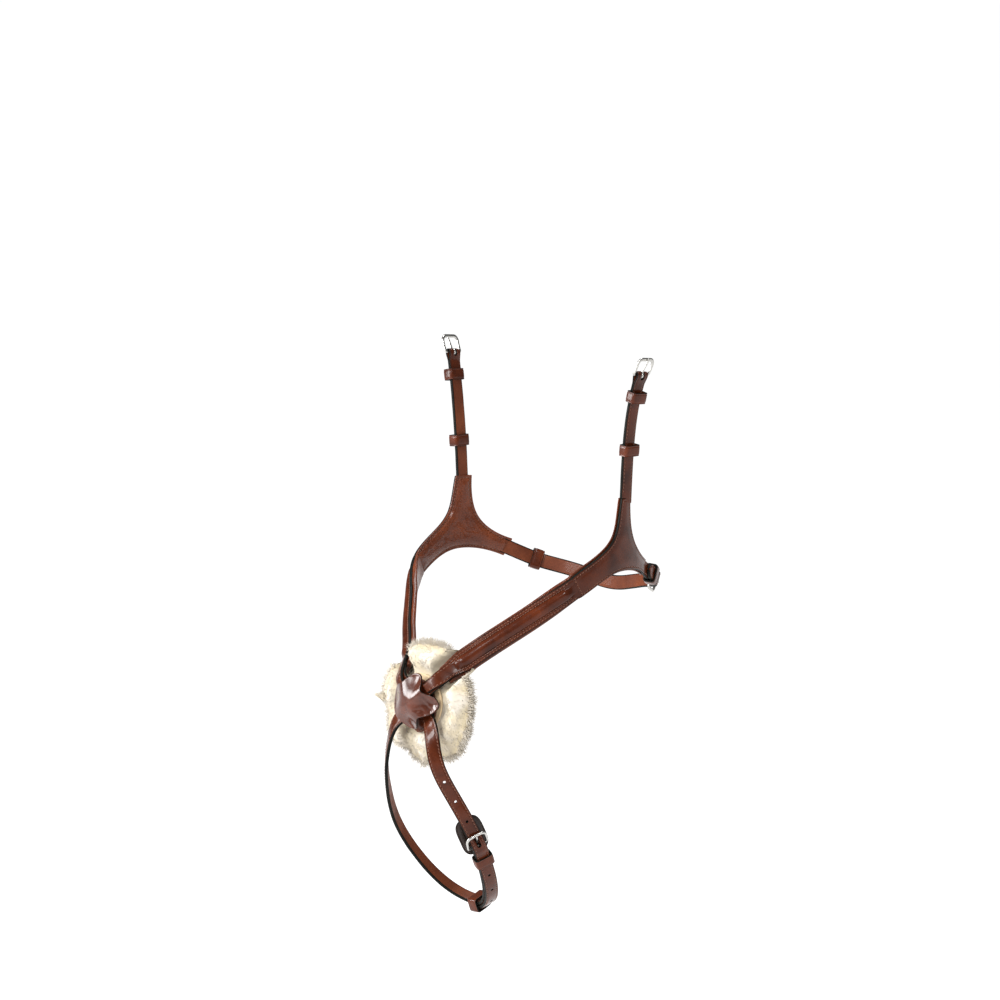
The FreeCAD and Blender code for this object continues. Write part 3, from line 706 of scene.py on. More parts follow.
FOLD_OVERLAP = 2.5      # the folded end runs on this far past where the strap's body stops
ROWS_TO_BAR, ROWS_TO_POINT = 11.0, 3.0  # a strap's stitches stop this far before its bar or its point


def full_thick(distance):
    """A strap that keeps its thickness."""
    return THICK


def pared(distance):
    """A chin strap's start is pared thin where the tip of a nose strap is sewn over it."""
    return THICK * between([(CHIN_START, 0.35), (CROSSING - 24, 1.0)], distance)


def edge_rows(name, line, start, end, half, low):
    """A row of stitches along each edge of a strap."""
    rows = Skin()
    for side in (1, -1):
        stitch_row(rows, line, start, end, lambda d: side * max(half(d) - ROW_IN, 0.4),
                   lambda d: low(d) + THICK + 0.02, slant=side * 8.0)
    rows.threads(name + "_stitches")


def fixed_strap(name, line, start, bar_at, low, sewn_back, rows_from, thick=full_thick):
    """A strap sewn round a buckle's bar: its body, its folded end with the slot, and its stitches."""
    place = buckle_place(line, bar_at)
    skin = Skin()
    sweep(skin, line, start, bar_at - sewn_back,
          lambda d, inset: strap_outline(STRAP / 2, low(d), low(d) + thick(d), inset),
          round_ends=(thick is full_thick, True))
    folded_end(skin, line, bar_at, sewn_back + FOLD_OVERLAP)
    item = skin.piece(name + "_leather", LEATHER, "root", "strap_leather", [name])
    tool = Skin()
    slot_tool(tool, place, SLOT_BACK, SLOT_AHEAD, SLOT_HALF, -5.0, 5.0)
    cut(item, tool)
    edge_rows(name, line, rows_from, bar_at - ROWS_TO_BAR, lambda d: STRAP / 2, low)


def billet(name, line, start, end, low, place, tongue_hole, hole_places, rows_from, thick=full_thick):
    """A strap with a pointed end, a long hole for the tongue and round holes to adjust it."""
    half = tail(end)
    skin = Skin()
    sweep(skin, line, start, end,
          lambda d, inset: strap_outline(half(d), low(d), low(d) + thick(d), inset),
          step=1.3, round_ends=(thick is full_thick, True))
    item = skin.piece(name + "_leather", LEATHER, "root", "strap_leather", [name])
    tool = Skin()
    slot_tool(tool, place, tongue_hole - TONGUE_SLOT, tongue_hole + TONGUE_SLOT, TONGUE_HALF,
              -4.0, 12.0)
    for distance in hole_places:
        slot_tool(tool, line.placement(distance, rise=low(distance)), -HOLE_RADIUS, HOLE_RADIUS,
                  HOLE_RADIUS, -4.0, 10.0)
    cut(item, tool)
    edge_rows(name, line, rows_from, end - ROWS_TO_POINT, half, low)


for side, line in cheeks.items():
    fixed_strap(f"{side}_cheek_strap", line, -UNDER_PLATE, line.length, lambda d: -THICK / 2, FOLD_LONG,
                FIRST_STITCH)
    buckle(f"{side}_cheek", PLACES[f"{side}_cheek"], TILTS[f"{side}_cheek"])
    keeper(f"{side}_fixed_keeper", line.placement(line.length - KEEPER_BACK), "root")
    keeper(f"{side}_lower_keeper", line.placement(LOWER_KEEPER_AT[side]), f"{side}_lower_keeper_slider")


def chin_low(distance):
    """How far the back of the chin buckle strap lies from its line."""
    return between([(CROSSING - 30, GAP), (CROSSING - 20, 0.1), (CROSSING + 20, 0.1),
                    (CROSSING + 50, -THICK / 2)], distance)


def billet_low(from_bar, bend=0.0):
    """How far the back of a billet lies from its line, by the distance ahead of the heel bar."""
    over_strap, over_eye = THICK / 2 + 0.6, 3.8 + bend
    return between([(-20, over_strap), (-10, over_strap), (-2, over_eye), (2, over_eye),
                    (14, 1.0 + bend), (30, 0.4), (50, -THICK / 2)], from_bar)


def chin_billet_low(distance):
    """The same for the chin billet, which also passes behind the other strap at the rosette."""
    if distance > CROSSING + 40:
        return billet_low(billet_line.length - CHIN_BAR - distance)
    behind = -THICK - 0.1
    return between([(CROSSING - 30, GAP), (CROSSING - 18, behind), (CROSSING + 18, behind),
                    (CROSSING + 40, -THICK / 2)], distance)


def jaw_low(distance):
    """How far the back of the jaw billet lies from its line."""
    return billet_low(FAR_BAR - distance, bend=1.0)


HOLE_SPACING, CHIN_HOLE, JAW_HOLE = 20.0, 7.0, 7.6
CHIN_HOLES = [BILLET_BAR - CHIN_HOLE - n * HOLE_SPACING for n in (3, 2, 1, -2, -3, -4)]
fixed_strap("chin_buckle_strap", chin, CHIN_START, CHIN_BAR, chin_low, FOLD_SHORT, CHIN_ROWS, pared)
billet("chin_billet", billet_line, CHIN_START, BILLET_BAR + CHIN_TAIL, chin_billet_low, PLACES["chin"],
       CHIN_HOLE, CHIN_HOLES, CHIN_ROWS, pared)
buckle("chin", PLACES["chin"], TILTS["chin"])
keeper("chin_fixed_keeper", chin.placement(CHIN_BAR - CHIN_KEEPER_BACK), "root")
keeper("chin_running_keeper", chin.placement(chin.key(BOTTOM_KEY)), "chin_running_keeper_slider",
       side=1.4, low=4.0, high=6.1)

fixed_strap("jaw_buckle_strap", jaw_back, jaw_back.key(1) - UNDER_PLATE, JAW_BAR, lambda d: -THICK / 2,
            FOLD_SHORT, jaw_back.key(1) + FIRST_STITCH)
billet("jaw_billet", jaw, jaw.key(1) - UNDER_PLATE, FAR_BAR + JAW_TAIL, jaw_low, PLACES["jaw"], JAW_HOLE,
       [FAR_BAR - JAW_HOLE + HOLE_SPACING], jaw.key(1) + FIRST_STITCH)
buckle("jaw", PLACES["jaw"], TILTS["jaw"])
keeper("jaw_fixed_keeper", jaw_back.placement(JAW_BAR - JAW_KEEPER_BACK), "root")
keeper("jaw_running_keeper", jaw.placement(jaw.key(2)), "jaw_running_keeper_slider",
       side=0.9, low=2.6, high=2.6)


def guard():
    """The rounded leather guard behind the chin buckle, with a crease along its rim."""
    middle, half_length, top, thick = CHIN_BAR + 9.0, 19.0, -3.6, 1.6
    end_width, full_width = 8.0, 25.0

    def half(distance):
        """Half the width of the guard, which is rounded towards both ends."""
        share = min(abs(distance - middle) / half_length, 1.0)
        return (end_width + (full_width - end_width) * math.sqrt(max(0.0, 1 - share ** 4))) / 2

    skin = Skin()
    sweep(skin, chin, middle - half_length, middle + half_length,
          lambda d, inset: strap_outline(half(d), top - thick, top, inset, crease=1.6, radius=0.7),
          step=1.0, wobble=0.2)
    skin.piece("chin_guard_leather", [padding, dyed, flesh], "root", "strap_leather", ["chin_guard"])


guard()

# ---------------------------------------------------------------- nose straps
TIP_END, TIP_FULL, TIP_FLAT, LINING_END = 19.0, 62.0, 43.0, 38.0
BEAD_FULL, BEAD_FLAT = 59.0, 50.0
NOSE_START = chin.key(1) + 0.4
UNDER_ARM = 3.0         # the leather runs this far in under the arm of its cheek plate


def nose_sizes(distance):
    """Half width, base, bead rise and bead half width of a nose strap's top at a distance."""
    full = between([(CROSSING - TIP_FULL, 1.0), (CROSSING - TIP_FLAT, 0.0)], distance)
    base = between([(CROSSING - TIP_FULL, GAP), (CROSSING - TIP_FLAT, 1.4),
                    (CROSSING - 24, THICK + 2 * GAP)], distance)
    bead = between([(NOSE_START + 1, 0.0), (NOSE_START + 10, 1.0), (CROSSING - BEAD_FULL, 1.0),
                    (CROSSING - BEAD_FLAT, 0.0)], distance)
    tip = between([(CROSSING - 36, 1.0), (CROSSING - TIP_END, 0.66)], distance)
    return tip * (STRAP + (TOP_WIDTH - STRAP) * full) / 2, base, 0.1 + 3.1 * bead, 3.4 + 1.8 * bead


def nose_outline(distance, inset=0.0):
    """A nose strap's section: a round bead along its middle and a sewn flange each side of it."""
    half, base, rise, bead = nose_sizes(distance)
    half, low, high = half - inset, base + inset, base + TOP_THICK - inset
    face = [(0.0, high + rise)]
    for share in (0.25, 0.48, 0.66, 0.8, 0.9, 0.965, 1.0):
        face.append((bead * share, high + rise * (1 - share ** 2.3) ** 0.62))
    seam = min(1.0, rise)
    face += [(bead + 0.25, high - 0.30 * seam), (bead + 0.6, high - 0.22 * seam),
             (bead + 1.0, high - 0.02), ((bead + half) / 2 + 0.2, high + 0.08), (half - 2.0, high),
             (half - 1.7, high - 0.16), (half - 1.35, high)]
    return edged(face, half, low, high, max(0.12, 0.7 - inset))


def nose_strap(side, line):
    """One padded nose strap: its beaded top, four rows of stitches and its lining."""
    start = NOSE_START
    skin = Skin()
    sweep(skin, line, start - UNDER_ARM, CROSSING - TIP_END, nose_outline, step=1.3)
    skin.piece(f"{side}_nose_leather", LEATHER, "root", "strap_leather", [f"{side}_nose_top"])
    rows = Skin()
    for sign in (1, -1):
        stitch_row(rows, line, start + 2, CROSSING - TIP_END - 2,
                   lambda d: sign * (nose_sizes(d)[0] - 1.7),
                   lambda d: nose_sizes(d)[1] + TOP_THICK - 0.05, slant=sign * 8.0)
        stitch_row(rows, line, start + 6, CROSSING - BEAD_FLAT - 1,
                   lambda d: sign * (nose_sizes(d)[3] + 0.65),
                   lambda d: nose_sizes(d)[1] + TOP_THICK - 0.12, slant=-sign * 8.0, pitch=2.6)
    rows.threads(f"{side}_nose_stitches")

    def lining_outline(distance, inset):
        """The lining's section: it narrows under the tip and starts thin beside the cheek pad."""
        near_end = between([(CROSSING - TIP_FULL, 0.0), (CROSSING - LINING_END, 1.0)], distance)
        half, soft = (LINING_WIDTH - 5.0 * near_end) / 2 - inset, max(1.42 - inset, 0.2)
        thick = between([(start, 3.0), (start + 16, LINING_THICK)], distance)
        low, high = -thick + inset, -0.03 - inset
        right = [(0.0, high), (half * 0.5, high)] + rounded(half - soft, high - soft, soft, 0, 90, 6)
        right += rounded(half - soft, low + soft, soft, 90, 180, 6)
        right += [(half * 0.6, low - 0.3), (half * 0.3, low - 0.42), (0.0, low - 0.45)]
        return both_halves(right, [0] * (len(right) - 1))

    pad = Skin()
    sweep(pad, line, start - 1.5, CROSSING - LINING_END, lining_outline, step=1.3, wobble=0.35)
    pad.piece(f"{side}_nose_pad", [pebbled], "root", "lining_leather", [f"{side}_nose_lining"])


nose_strap("left", chin)
nose_strap("right", billet_line)

# ---------------------------------------------------------------- cheek plates
FRONT_EDGE = [(150.6, 175.0), (146.8, 157.0), (142.0, 143.0), (125.0, 128.0), (93.3, 109.2)]
BOTTOM_EDGE = [(102.7, 91.8), (119.7, 101.0), (143.5, 110.0), (160.0, 111.0), (194.2, 101.6)]
REAR_EDGE = [(200.0, 114.4), (184.0, 123.0), (169.5, 139.0), (164.6, 157.0), (164.4, 175.0)]
CHEEK_CURVE = [(97.0, 98.0), (101.5, 150.0), (84.0, 197.0)]
SEAM_IN = 2.3           # the sewn groove of a plate and of its pad lies this far in from the edge
RIM_DEEP = 4.2          # the mesh follows the border this far in, and is a plain grid past that
PLATE_ROUND, PAD_MARGIN = 1.3, 1.3
PAD_FACE, PAD_RIM = -0.03, -1.25        # the pad's flat face, and the back of its sewn rim


def circle_through(points):
    """Centre and radius of the circle through three points."""
    (ax, ay), (bx, by), (cx, cy) = points
    system = 2 * np.array([[bx - ax, by - ay], [cx - ax, cy - ay]])
    right = np.array([bx ** 2 + by ** 2 - ax ** 2 - ay ** 2, cx ** 2 + cy ** 2 - ax ** 2 - ay ** 2])
    centre = np.linalg.solve(system, right)
    return centre, float(np.hypot(*(centre - [ax, ay])))


def smooth_edge(points, margin, count=40):
    """Points along a smooth edge, moved outward by a margin."""
    values = np.array(points, float)
    marks = runs(values)
    slopes = spline_slopes(marks, values)
    edge = []
    for place in np.linspace(0, marks[-1], count):
        spot, ahead, _ = on_spline(marks, values, slopes, place)
        ahead /= np.linalg.norm(ahead)
        edge.append(spot + margin * np.array([ahead[1], -ahead[0]]))
    return edge


def plate_border(margin, step=1.1):
    """The Y outline of a cheek plate, as evenly spaced (y, z) points."""
    border = []
    for points in (FRONT_EDGE, BOTTOM_EDGE, REAR_EDGE):
        border += smooth_edge(points, margin)
    border = np.array(border + border[:1])
    marks = runs(border)
    stops = np.linspace(0, marks[-1], int(marks[-1] / step))[:-1]
    return np.stack([np.interp(stops, marks, border[:, k]) for k in (0, 1)], axis=1)


def to_border(spots, border):
    """How far each spot lies from the border."""
    ends = np.roll(border, -1, axis=0)
    ways = ends - border
    share = np.einsum("pbk,bk->pb", spots[:, None] - border[None], ways) / (ways ** 2).sum(1)
    near = border[None] + np.clip(share, 0, 1)[..., None] * ways[None]
    return np.linalg.norm(spots[:, None] - near, axis=2).min(1)


def inward(border, depth):
    """The border moved inward, without the places where that folds over."""
    ahead = np.roll(border, -1, axis=0) - np.roll(border, 1, axis=0)
    ahead /= np.linalg.norm(ahead, axis=1)[:, None]
    moved = border + depth * np.stack([-ahead[:, 1], ahead[:, 0]], axis=1)
    return moved[to_border(moved, border) > depth - 0.06]


CHEEK_CENTRE, CHEEK_RADIUS = circle_through(CHEEK_CURVE)


def on_cheek(side, y, z, rise):
    """The point over (y, z) on one side's cheek curve, risen outward."""
    far = math.sqrt((CHEEK_RADIUS + rise) ** 2 - (y - CHEEK_CENTRE[1]) ** 2)
    return Vector((side * (CHEEK_CENTRE[0] + far), y, z))


def cheek_sheet(side, margin, over, under, kinds, grid=1.9):
    """A sheet in the Y outline; over and under give its two faces by the depth from its border."""
    border = plate_border(margin)
    rings = [border] + [inward(border, d) for d in (0.12, 0.35, 0.7, 1.2, 1.75, 2.05, 2.3, 2.55, 2.85,
                                                    3.4, RIM_DEEP)]
    low, high = border.min(0), border.max(0)
    mesh = np.stack(np.meshgrid(np.arange(low[0], high[0], grid), np.arange(low[1], high[1], grid)),
                    axis=-1).reshape(-1, 2)
    count = len(border)
    spots = np.concatenate(rings + [mesh])
    depth = to_border(spots, border)
    depth[:count] = 0
    keep = np.ones(len(spots), bool)
    keep[-len(mesh):] = depth[-len(mesh):] > RIM_DEEP + grid * 0.5
    spots, depth = spots[keep], depth[keep]
    rim = [list(range(count))]
    flat, _, faces, _, _, _ = delaunay_2d_cdt([Vector(p) for p in spots], [], rim, 1, 1e-5)
    depth = to_border(np.array(flat), border)
    skin = Skin()
    edge = depth < 1e-4
    for heights in (over, under):
        skin.points += [on_cheek(side, p[0], p[1], heights(d, p)) for p, d in zip(flat, depth)]
    half = len(flat)
    back = [i if edge[i] else i + half for i in range(half)]
    for face in faces:
        near = min(depth[i] for i in face)
        skin.faces.append(tuple(face))
        skin.kinds.append(kinds[1] if near < 0.5 else kinds[0])
        skin.faces.append(tuple(back[i] for i in reversed(face)))
        skin.kinds.append(kinds[1] if near < 0.5 else kinds[2])
    return skin, border


def round_edge(depth, radius):
    """How far a face falls towards its edge, for a rounded edge."""
    return radius - math.sqrt(max(radius ** 2 - max(radius - depth, 0.0) ** 2, 0.0))


def plate_over(depth, spot):
    """The outer face of a cheek plate: gently swollen, with a groove for its stitches."""
    swell = 0.45 * between([(3.0, 0.0), (8.0, 1.0)], depth)
    wave = 0.12 * noise.noise(Vector((spot[0] * 0.11, spot[1] * 0.11, 3.0)))
    groove = 0.24 * math.exp(-((depth - SEAM_IN) / 0.34) ** 2)
    return GAP + PLATE_THICK - round_edge(depth, PLATE_ROUND) + swell + wave - groove


def plate_under(depth, spot):
    """The flat back of a cheek plate."""
    return GAP + round_edge(depth, PLATE_ROUND)


def pad_over(depth, spot):
    """The flat face of a cheek lining, against the plate."""
    return PAD_FACE - round_edge(depth, 0.6)


def pad_under(depth, spot):
    """The soft face of a cheek lining: a sewn rim, and a full, slightly uneven middle."""
    puff = between([(2.6, 0.0), (4.2, 0.62), (8.5, 1.0)], depth)
    wave = noise.noise(Vector((spot[0] * 0.16, spot[1] * 0.16, 9.0)))
    groove = 0.26 * math.exp(-((depth - SEAM_IN) / 0.4) ** 2)
    return PAD_RIM + round_edge(depth, 0.62) - puff * (2.3 + 0.45 * wave) + groove


def border_stitches(side, border, depth, rise, facing=1):
    """Stitches along a border, on the outer face (1) or on the inner one (-1)."""
    path = inward(border, depth)
    path = np.concatenate([path, path[:1]])
    marks = runs(path)
    rows = Skin()
    for place in np.arange(0, marks[-1] - 1, STITCH_PITCH):
        spots = [[float(np.interp(place + k, marks, path[:, a])) for a in (0, 1)] for k in (-0.6, 0.6)]
        behind, ahead = (on_cheek(side, *spot, rise) for spot in spots)
        middle = (behind + ahead) / 2
        out = Vector((middle.x - side * CHEEK_CENTRE[0], middle.y - CHEEK_CENTRE[1], 0)).normalized()
        stitch_between(rows, behind, ahead, out * facing, STITCH_PITCH * STITCH_SHARE, slant=0.14)
    return rows


for side, name in ((1, "left"), (-1, "right")):
    skin, border = cheek_sheet(side, 0.0, plate_over, plate_under, (GRAIN, EDGE, BACK))
    skin.piece(f"{name}_cheek_plate_leather", LEATHER, "root", "strap_leather", [f"{name}_cheek_plate"])
    border_stitches(side, border, SEAM_IN, GAP + PLATE_THICK - 0.12).threads(f"{name}_plate_stitches")
    skin, border = cheek_sheet(side, PAD_MARGIN, pad_over, pad_under, (0, 0, 0))
    skin.piece(f"{name}_cheek_pad", [pebbled], "root", "lining_leather",
                         [f"{name}_cheek_lining"])
    border_stitches(side, border, SEAM_IN, PAD_RIM + 0.16, facing=-1).threads(f"{name}_pad_stitches")

# ---------------------------------------------------------------- rosette
TURN = 360.0


def around(table, degrees):
    """A value that runs smoothly round the circle through (degrees, value) rows."""
    rows = [(table[-1][0] - TURN, table[-1][1])] + table + [(table[0][0] + TURN, table[0][1])]
    return between(rows, degrees % TURN)


def polar(degrees, reach):
    """The x and z of a place round the middle of the rosette."""
    turn = math.radians(degrees)
    return reach * math.cos(turn), reach * math.sin(turn)


# Four lobes are sewn down between the straps, and the cover arches over each strap.
COVER_REACH = [(2, 28.0), (40, 18.5), (75, 27.0), (114, 20.0), (172, 24.5),
               (220, 20.0), (266, 23.5), (314, 16.5)]
COVER_DROP = [(2, 11.5), (42, 4.6), (74, 8.6), (116, 4.4), (172, 11.0), (220, 4.4),
              (266, 11.4), (314, 4.2)]
COVER_FRONT = -12.4
COVER_ROUND = 25.0      # the cover falls towards its lobes over this distance from the middle
COVER_SEAM = 0.925      # its stitches lie at this share of the way out
BASE_FRONT, BASE_BACK = 4.4, 6.4
HIDE_RADIUS, HIDE_FRONT, HIDE_BACK = 25.0, 6.6, 8.5


def cover_height(degrees, share, x, z):
    """How far forward the cover's face stands, at a share of the way out to its edge."""
    drop = around(COVER_DROP, degrees)
    out = math.hypot(x, z) / COVER_ROUND
    lobed = drop * (0.18 * out ** 1.3 + 0.82 * between([(0.15, 0.0), (1.05, 1.0)], out) ** 1.15)
    fold = math.exp(-(((degrees + 180) % TURN - 178) / 34) ** 2) * between([(0.4, 0.0), (0.7, 1.0)], share)
    folds = 0.42 * fold * math.sin(z * 0.8 + 0.55 * x + 5.0 * noise.noise(Vector((x, z, 0)) * 0.10))
    folds += 0.35 * fold * noise.noise(Vector((x * 0.3, z * 0.42, 8.0)))
    dents = 0.22 * noise.noise(Vector((x * 0.07, z * 0.07, 4.0)))
    return COVER_FRONT + lobed + folds + dents


def rosette():
    """The moulded cover, with its edge turned back, and a row of stitches along one of its lobes."""
    skin = Skin()
    rows, spokes, wall = 30, 168, 2.0
    rings = []
    for i in range(rows + 1):
        share = 0.02 + 0.98 * i / rows
        rings.append((share, 0.0, share))
    rings += [(1.012, 0.3, 1.0), (1.02, 0.9, 1.0), (1.012, 1.5, 1.0), (0.99, wall, 0.99)]
    rings += [(share, wall, share) for share in (0.9, 0.7, 0.45, 0.2, 0.05)]
    shape = []
    for share, back, look in rings:
        ring = []
        for j in range(spokes):
            degrees = TURN * j / spokes
            x, z = polar(degrees, around(COVER_REACH, degrees) * share)
            ring.append(Vector((x, cover_height(degrees, look, x, z) + back, z)))
        shape.append(ring)
    skin.rings(shape, [0])
    for number in range(len(skin.faces)):
        row = number // spokes
        if row > rows and number < (len(shape) - 1) * spokes:
            skin.kinds[number] = 1 if row < rows + 4 else 2
    skin.piece("rosette_cover_leather", [boss, dyed, flesh], "root", "boss_leather", ["rosette_cover"])

    thread = Skin()
    for degrees in np.arange(0, TURN, 6.6):
        if not 140 < degrees < 205:
            continue
        spots = []
        for turn in (degrees - 1.4, degrees + 1.4):
            x, z = polar(turn, around(COVER_REACH, turn) * COVER_SEAM)
            spots.append(Vector((x, cover_height(turn % TURN, COVER_SEAM, x, z) - 0.05, z)))
        stitch_between(thread, *spots, Vector((0, -1, 0)), 1.9, 0.24)
    thread.threads("rosette_stitches", "boss_leather")


def round_plate(name, node, slot, materials, radius, front, back, wave, seed):
    """A disc of leather with a rounded, slightly uneven edge, facing forward."""
    skin = Skin()
    shape = []
    for share, depth in ((0.05, 0.0), (0.5, 0.0), (0.85, 0.0), (0.93, 0.12), (0.965, 0.0),
                         (0.985, 0.1), (1.0, 0.35), (1.0, 0.65), (0.985, 0.9), (0.95, 1.0),
                         (0.5, 1.0), (0.05, 1.0)):
        ring = []
        for j in range(96):
            turn = math.tau * j / 96
            reach = radius(math.degrees(turn)) * share
            spot = Vector((reach * math.cos(turn), front + (back - front) * depth,
                           reach * math.sin(turn)))
            spot.y += wave * noise.noise(spot * 0.08 + Vector((seed, 0, 0)))
            ring.append(spot)
        shape.append(ring)
    skin.rings(shape, [0])
    return skin.piece(name, materials, "root", slot, [node])


def base_reach(degrees):
    """The sewn base shows past the cover's lower and left lobes."""
    return around([(20, 19.0), (150, 21.5), (185, 26.0), (230, 23.0), (266, 27.5), (300, 22.5)], degrees)


rosette()
round_plate("rosette_base_leather", "rosette_base", "strap_leather", [grain], base_reach, BASE_FRONT,
            BASE_BACK, 0.15, 1.0)
base_rows = Skin()
for degrees in np.arange(140, 310, 6.4):
    reach = base_reach(degrees) - 1.5
    turn = math.radians(degrees)
    place = (Matrix.Translation(Vector((reach * math.cos(turn), 4.3, reach * math.sin(turn))))
             @ Matrix.Rotation(-turn + math.radians(90), 4, "Y") @ Matrix.Rotation(math.radians(90), 4, "X"))
    stitch(base_rows, place, 2.0, 0.26)
base_rows.threads("rosette_base_stitches")
round_plate("sheepskin_back", "sheepskin_hide", "hide", [skin_side], lambda degrees: HIDE_RADIUS,
            HIDE_FRONT, HIDE_BACK, 0.2, 5.0)

# ---------------------------------------------------------------- sheepskin
WOOL_RIM, WOOL_FRONT, WOOL_BACK = 51.0, 8.8, 29.0
LOCK_SHAPE = [(0.0, 1.0), (0.4, 0.85), (0.75, 0.5), (1.0, 0.1)]     # a lock's width along it
WOOL_LOBES = [(12, 1.5), (50, 4.0), (90, 0.0), (130, -1.5), (172, 3.0), (196, 1.5), (218, 10.0),
              (240, 0.5), (262, 4.0), (285, 1.0), (312, 3.5), (345, 0.5)]


def strap_depth(x, z):
    """How far the wool's front is pressed back under the two nose straps."""
    depth = 0.0
    near, far = 11.0, 18.0      # fully pressed up to near, and not at all past far
    for line in (chin, billet_line):
        for distance in np.linspace(CROSSING - 100, CROSSING - 22, 14):
            point = line.frame(distance)[0]
            away = math.hypot(point.x - x, point.z - z)
            if away < far:
                depth = max(depth, (point.y + 2.0) * (1 - between([(near, 0.0), (far, 1.0)], away)))
    return depth


def tuft_pattern(x, z, seed):
    """Rounded locks with partings between them: 0 at a parting, 1 on a lock."""
    spot = Vector((x, 0.0, z)) * 0.043 + Vector((seed, 0, 0))
    near = noise.voronoi(spot, distance_metric="DISTANCE")[0]
    return between([(0.0, 0.0), (0.42, 1.0)], near[1] - near[0])


def wool_front(x, z):
    """The front face of the wool, as a y, and how much of a lock is there."""
    reach = math.hypot(x, z)
    lock = tuft_pattern(x + 4 * noise.noise(Vector((x, 0, z)) * 0.05), z, 3.0)
    swell = between([(25.0, 0.0), (38.0, 1.0)], reach)
    fall = 9.0 * between([(38.0, 0.0), (WOOL_RIM + 4, 1.0)], reach)
    y = WOOL_FRONT - 5.0 * swell * (0.45 + 0.55 * lock) + fall
    y += 0.9 * noise.noise(Vector((x, z, 0)) * 0.11)
    return max(y, strap_depth(x, z)), lock


def wool_back(x, z):
    """The face that lies on the horse: dense and gently rounded."""
    reach = math.hypot(x, z)
    lock = tuft_pattern(x, z, 11.0)
    return WOOL_BACK + 1.4 * lock - 10.0 * between([(34.0, 0.0), (WOOL_RIM + 4, 1.0)], reach), lock


def wool_reach(degrees):
    """The rim of the wool, uneven as a trimmed fleece is."""
    turn = math.radians(degrees)
    spot = Vector((math.cos(turn), math.sin(turn), 0))
    lobes = around(WOOL_LOBES, degrees)
    return WOOL_RIM + lobes + 2.6 * noise.noise(spot * 2.1) + 1.2 * noise.noise(spot * 6.0)


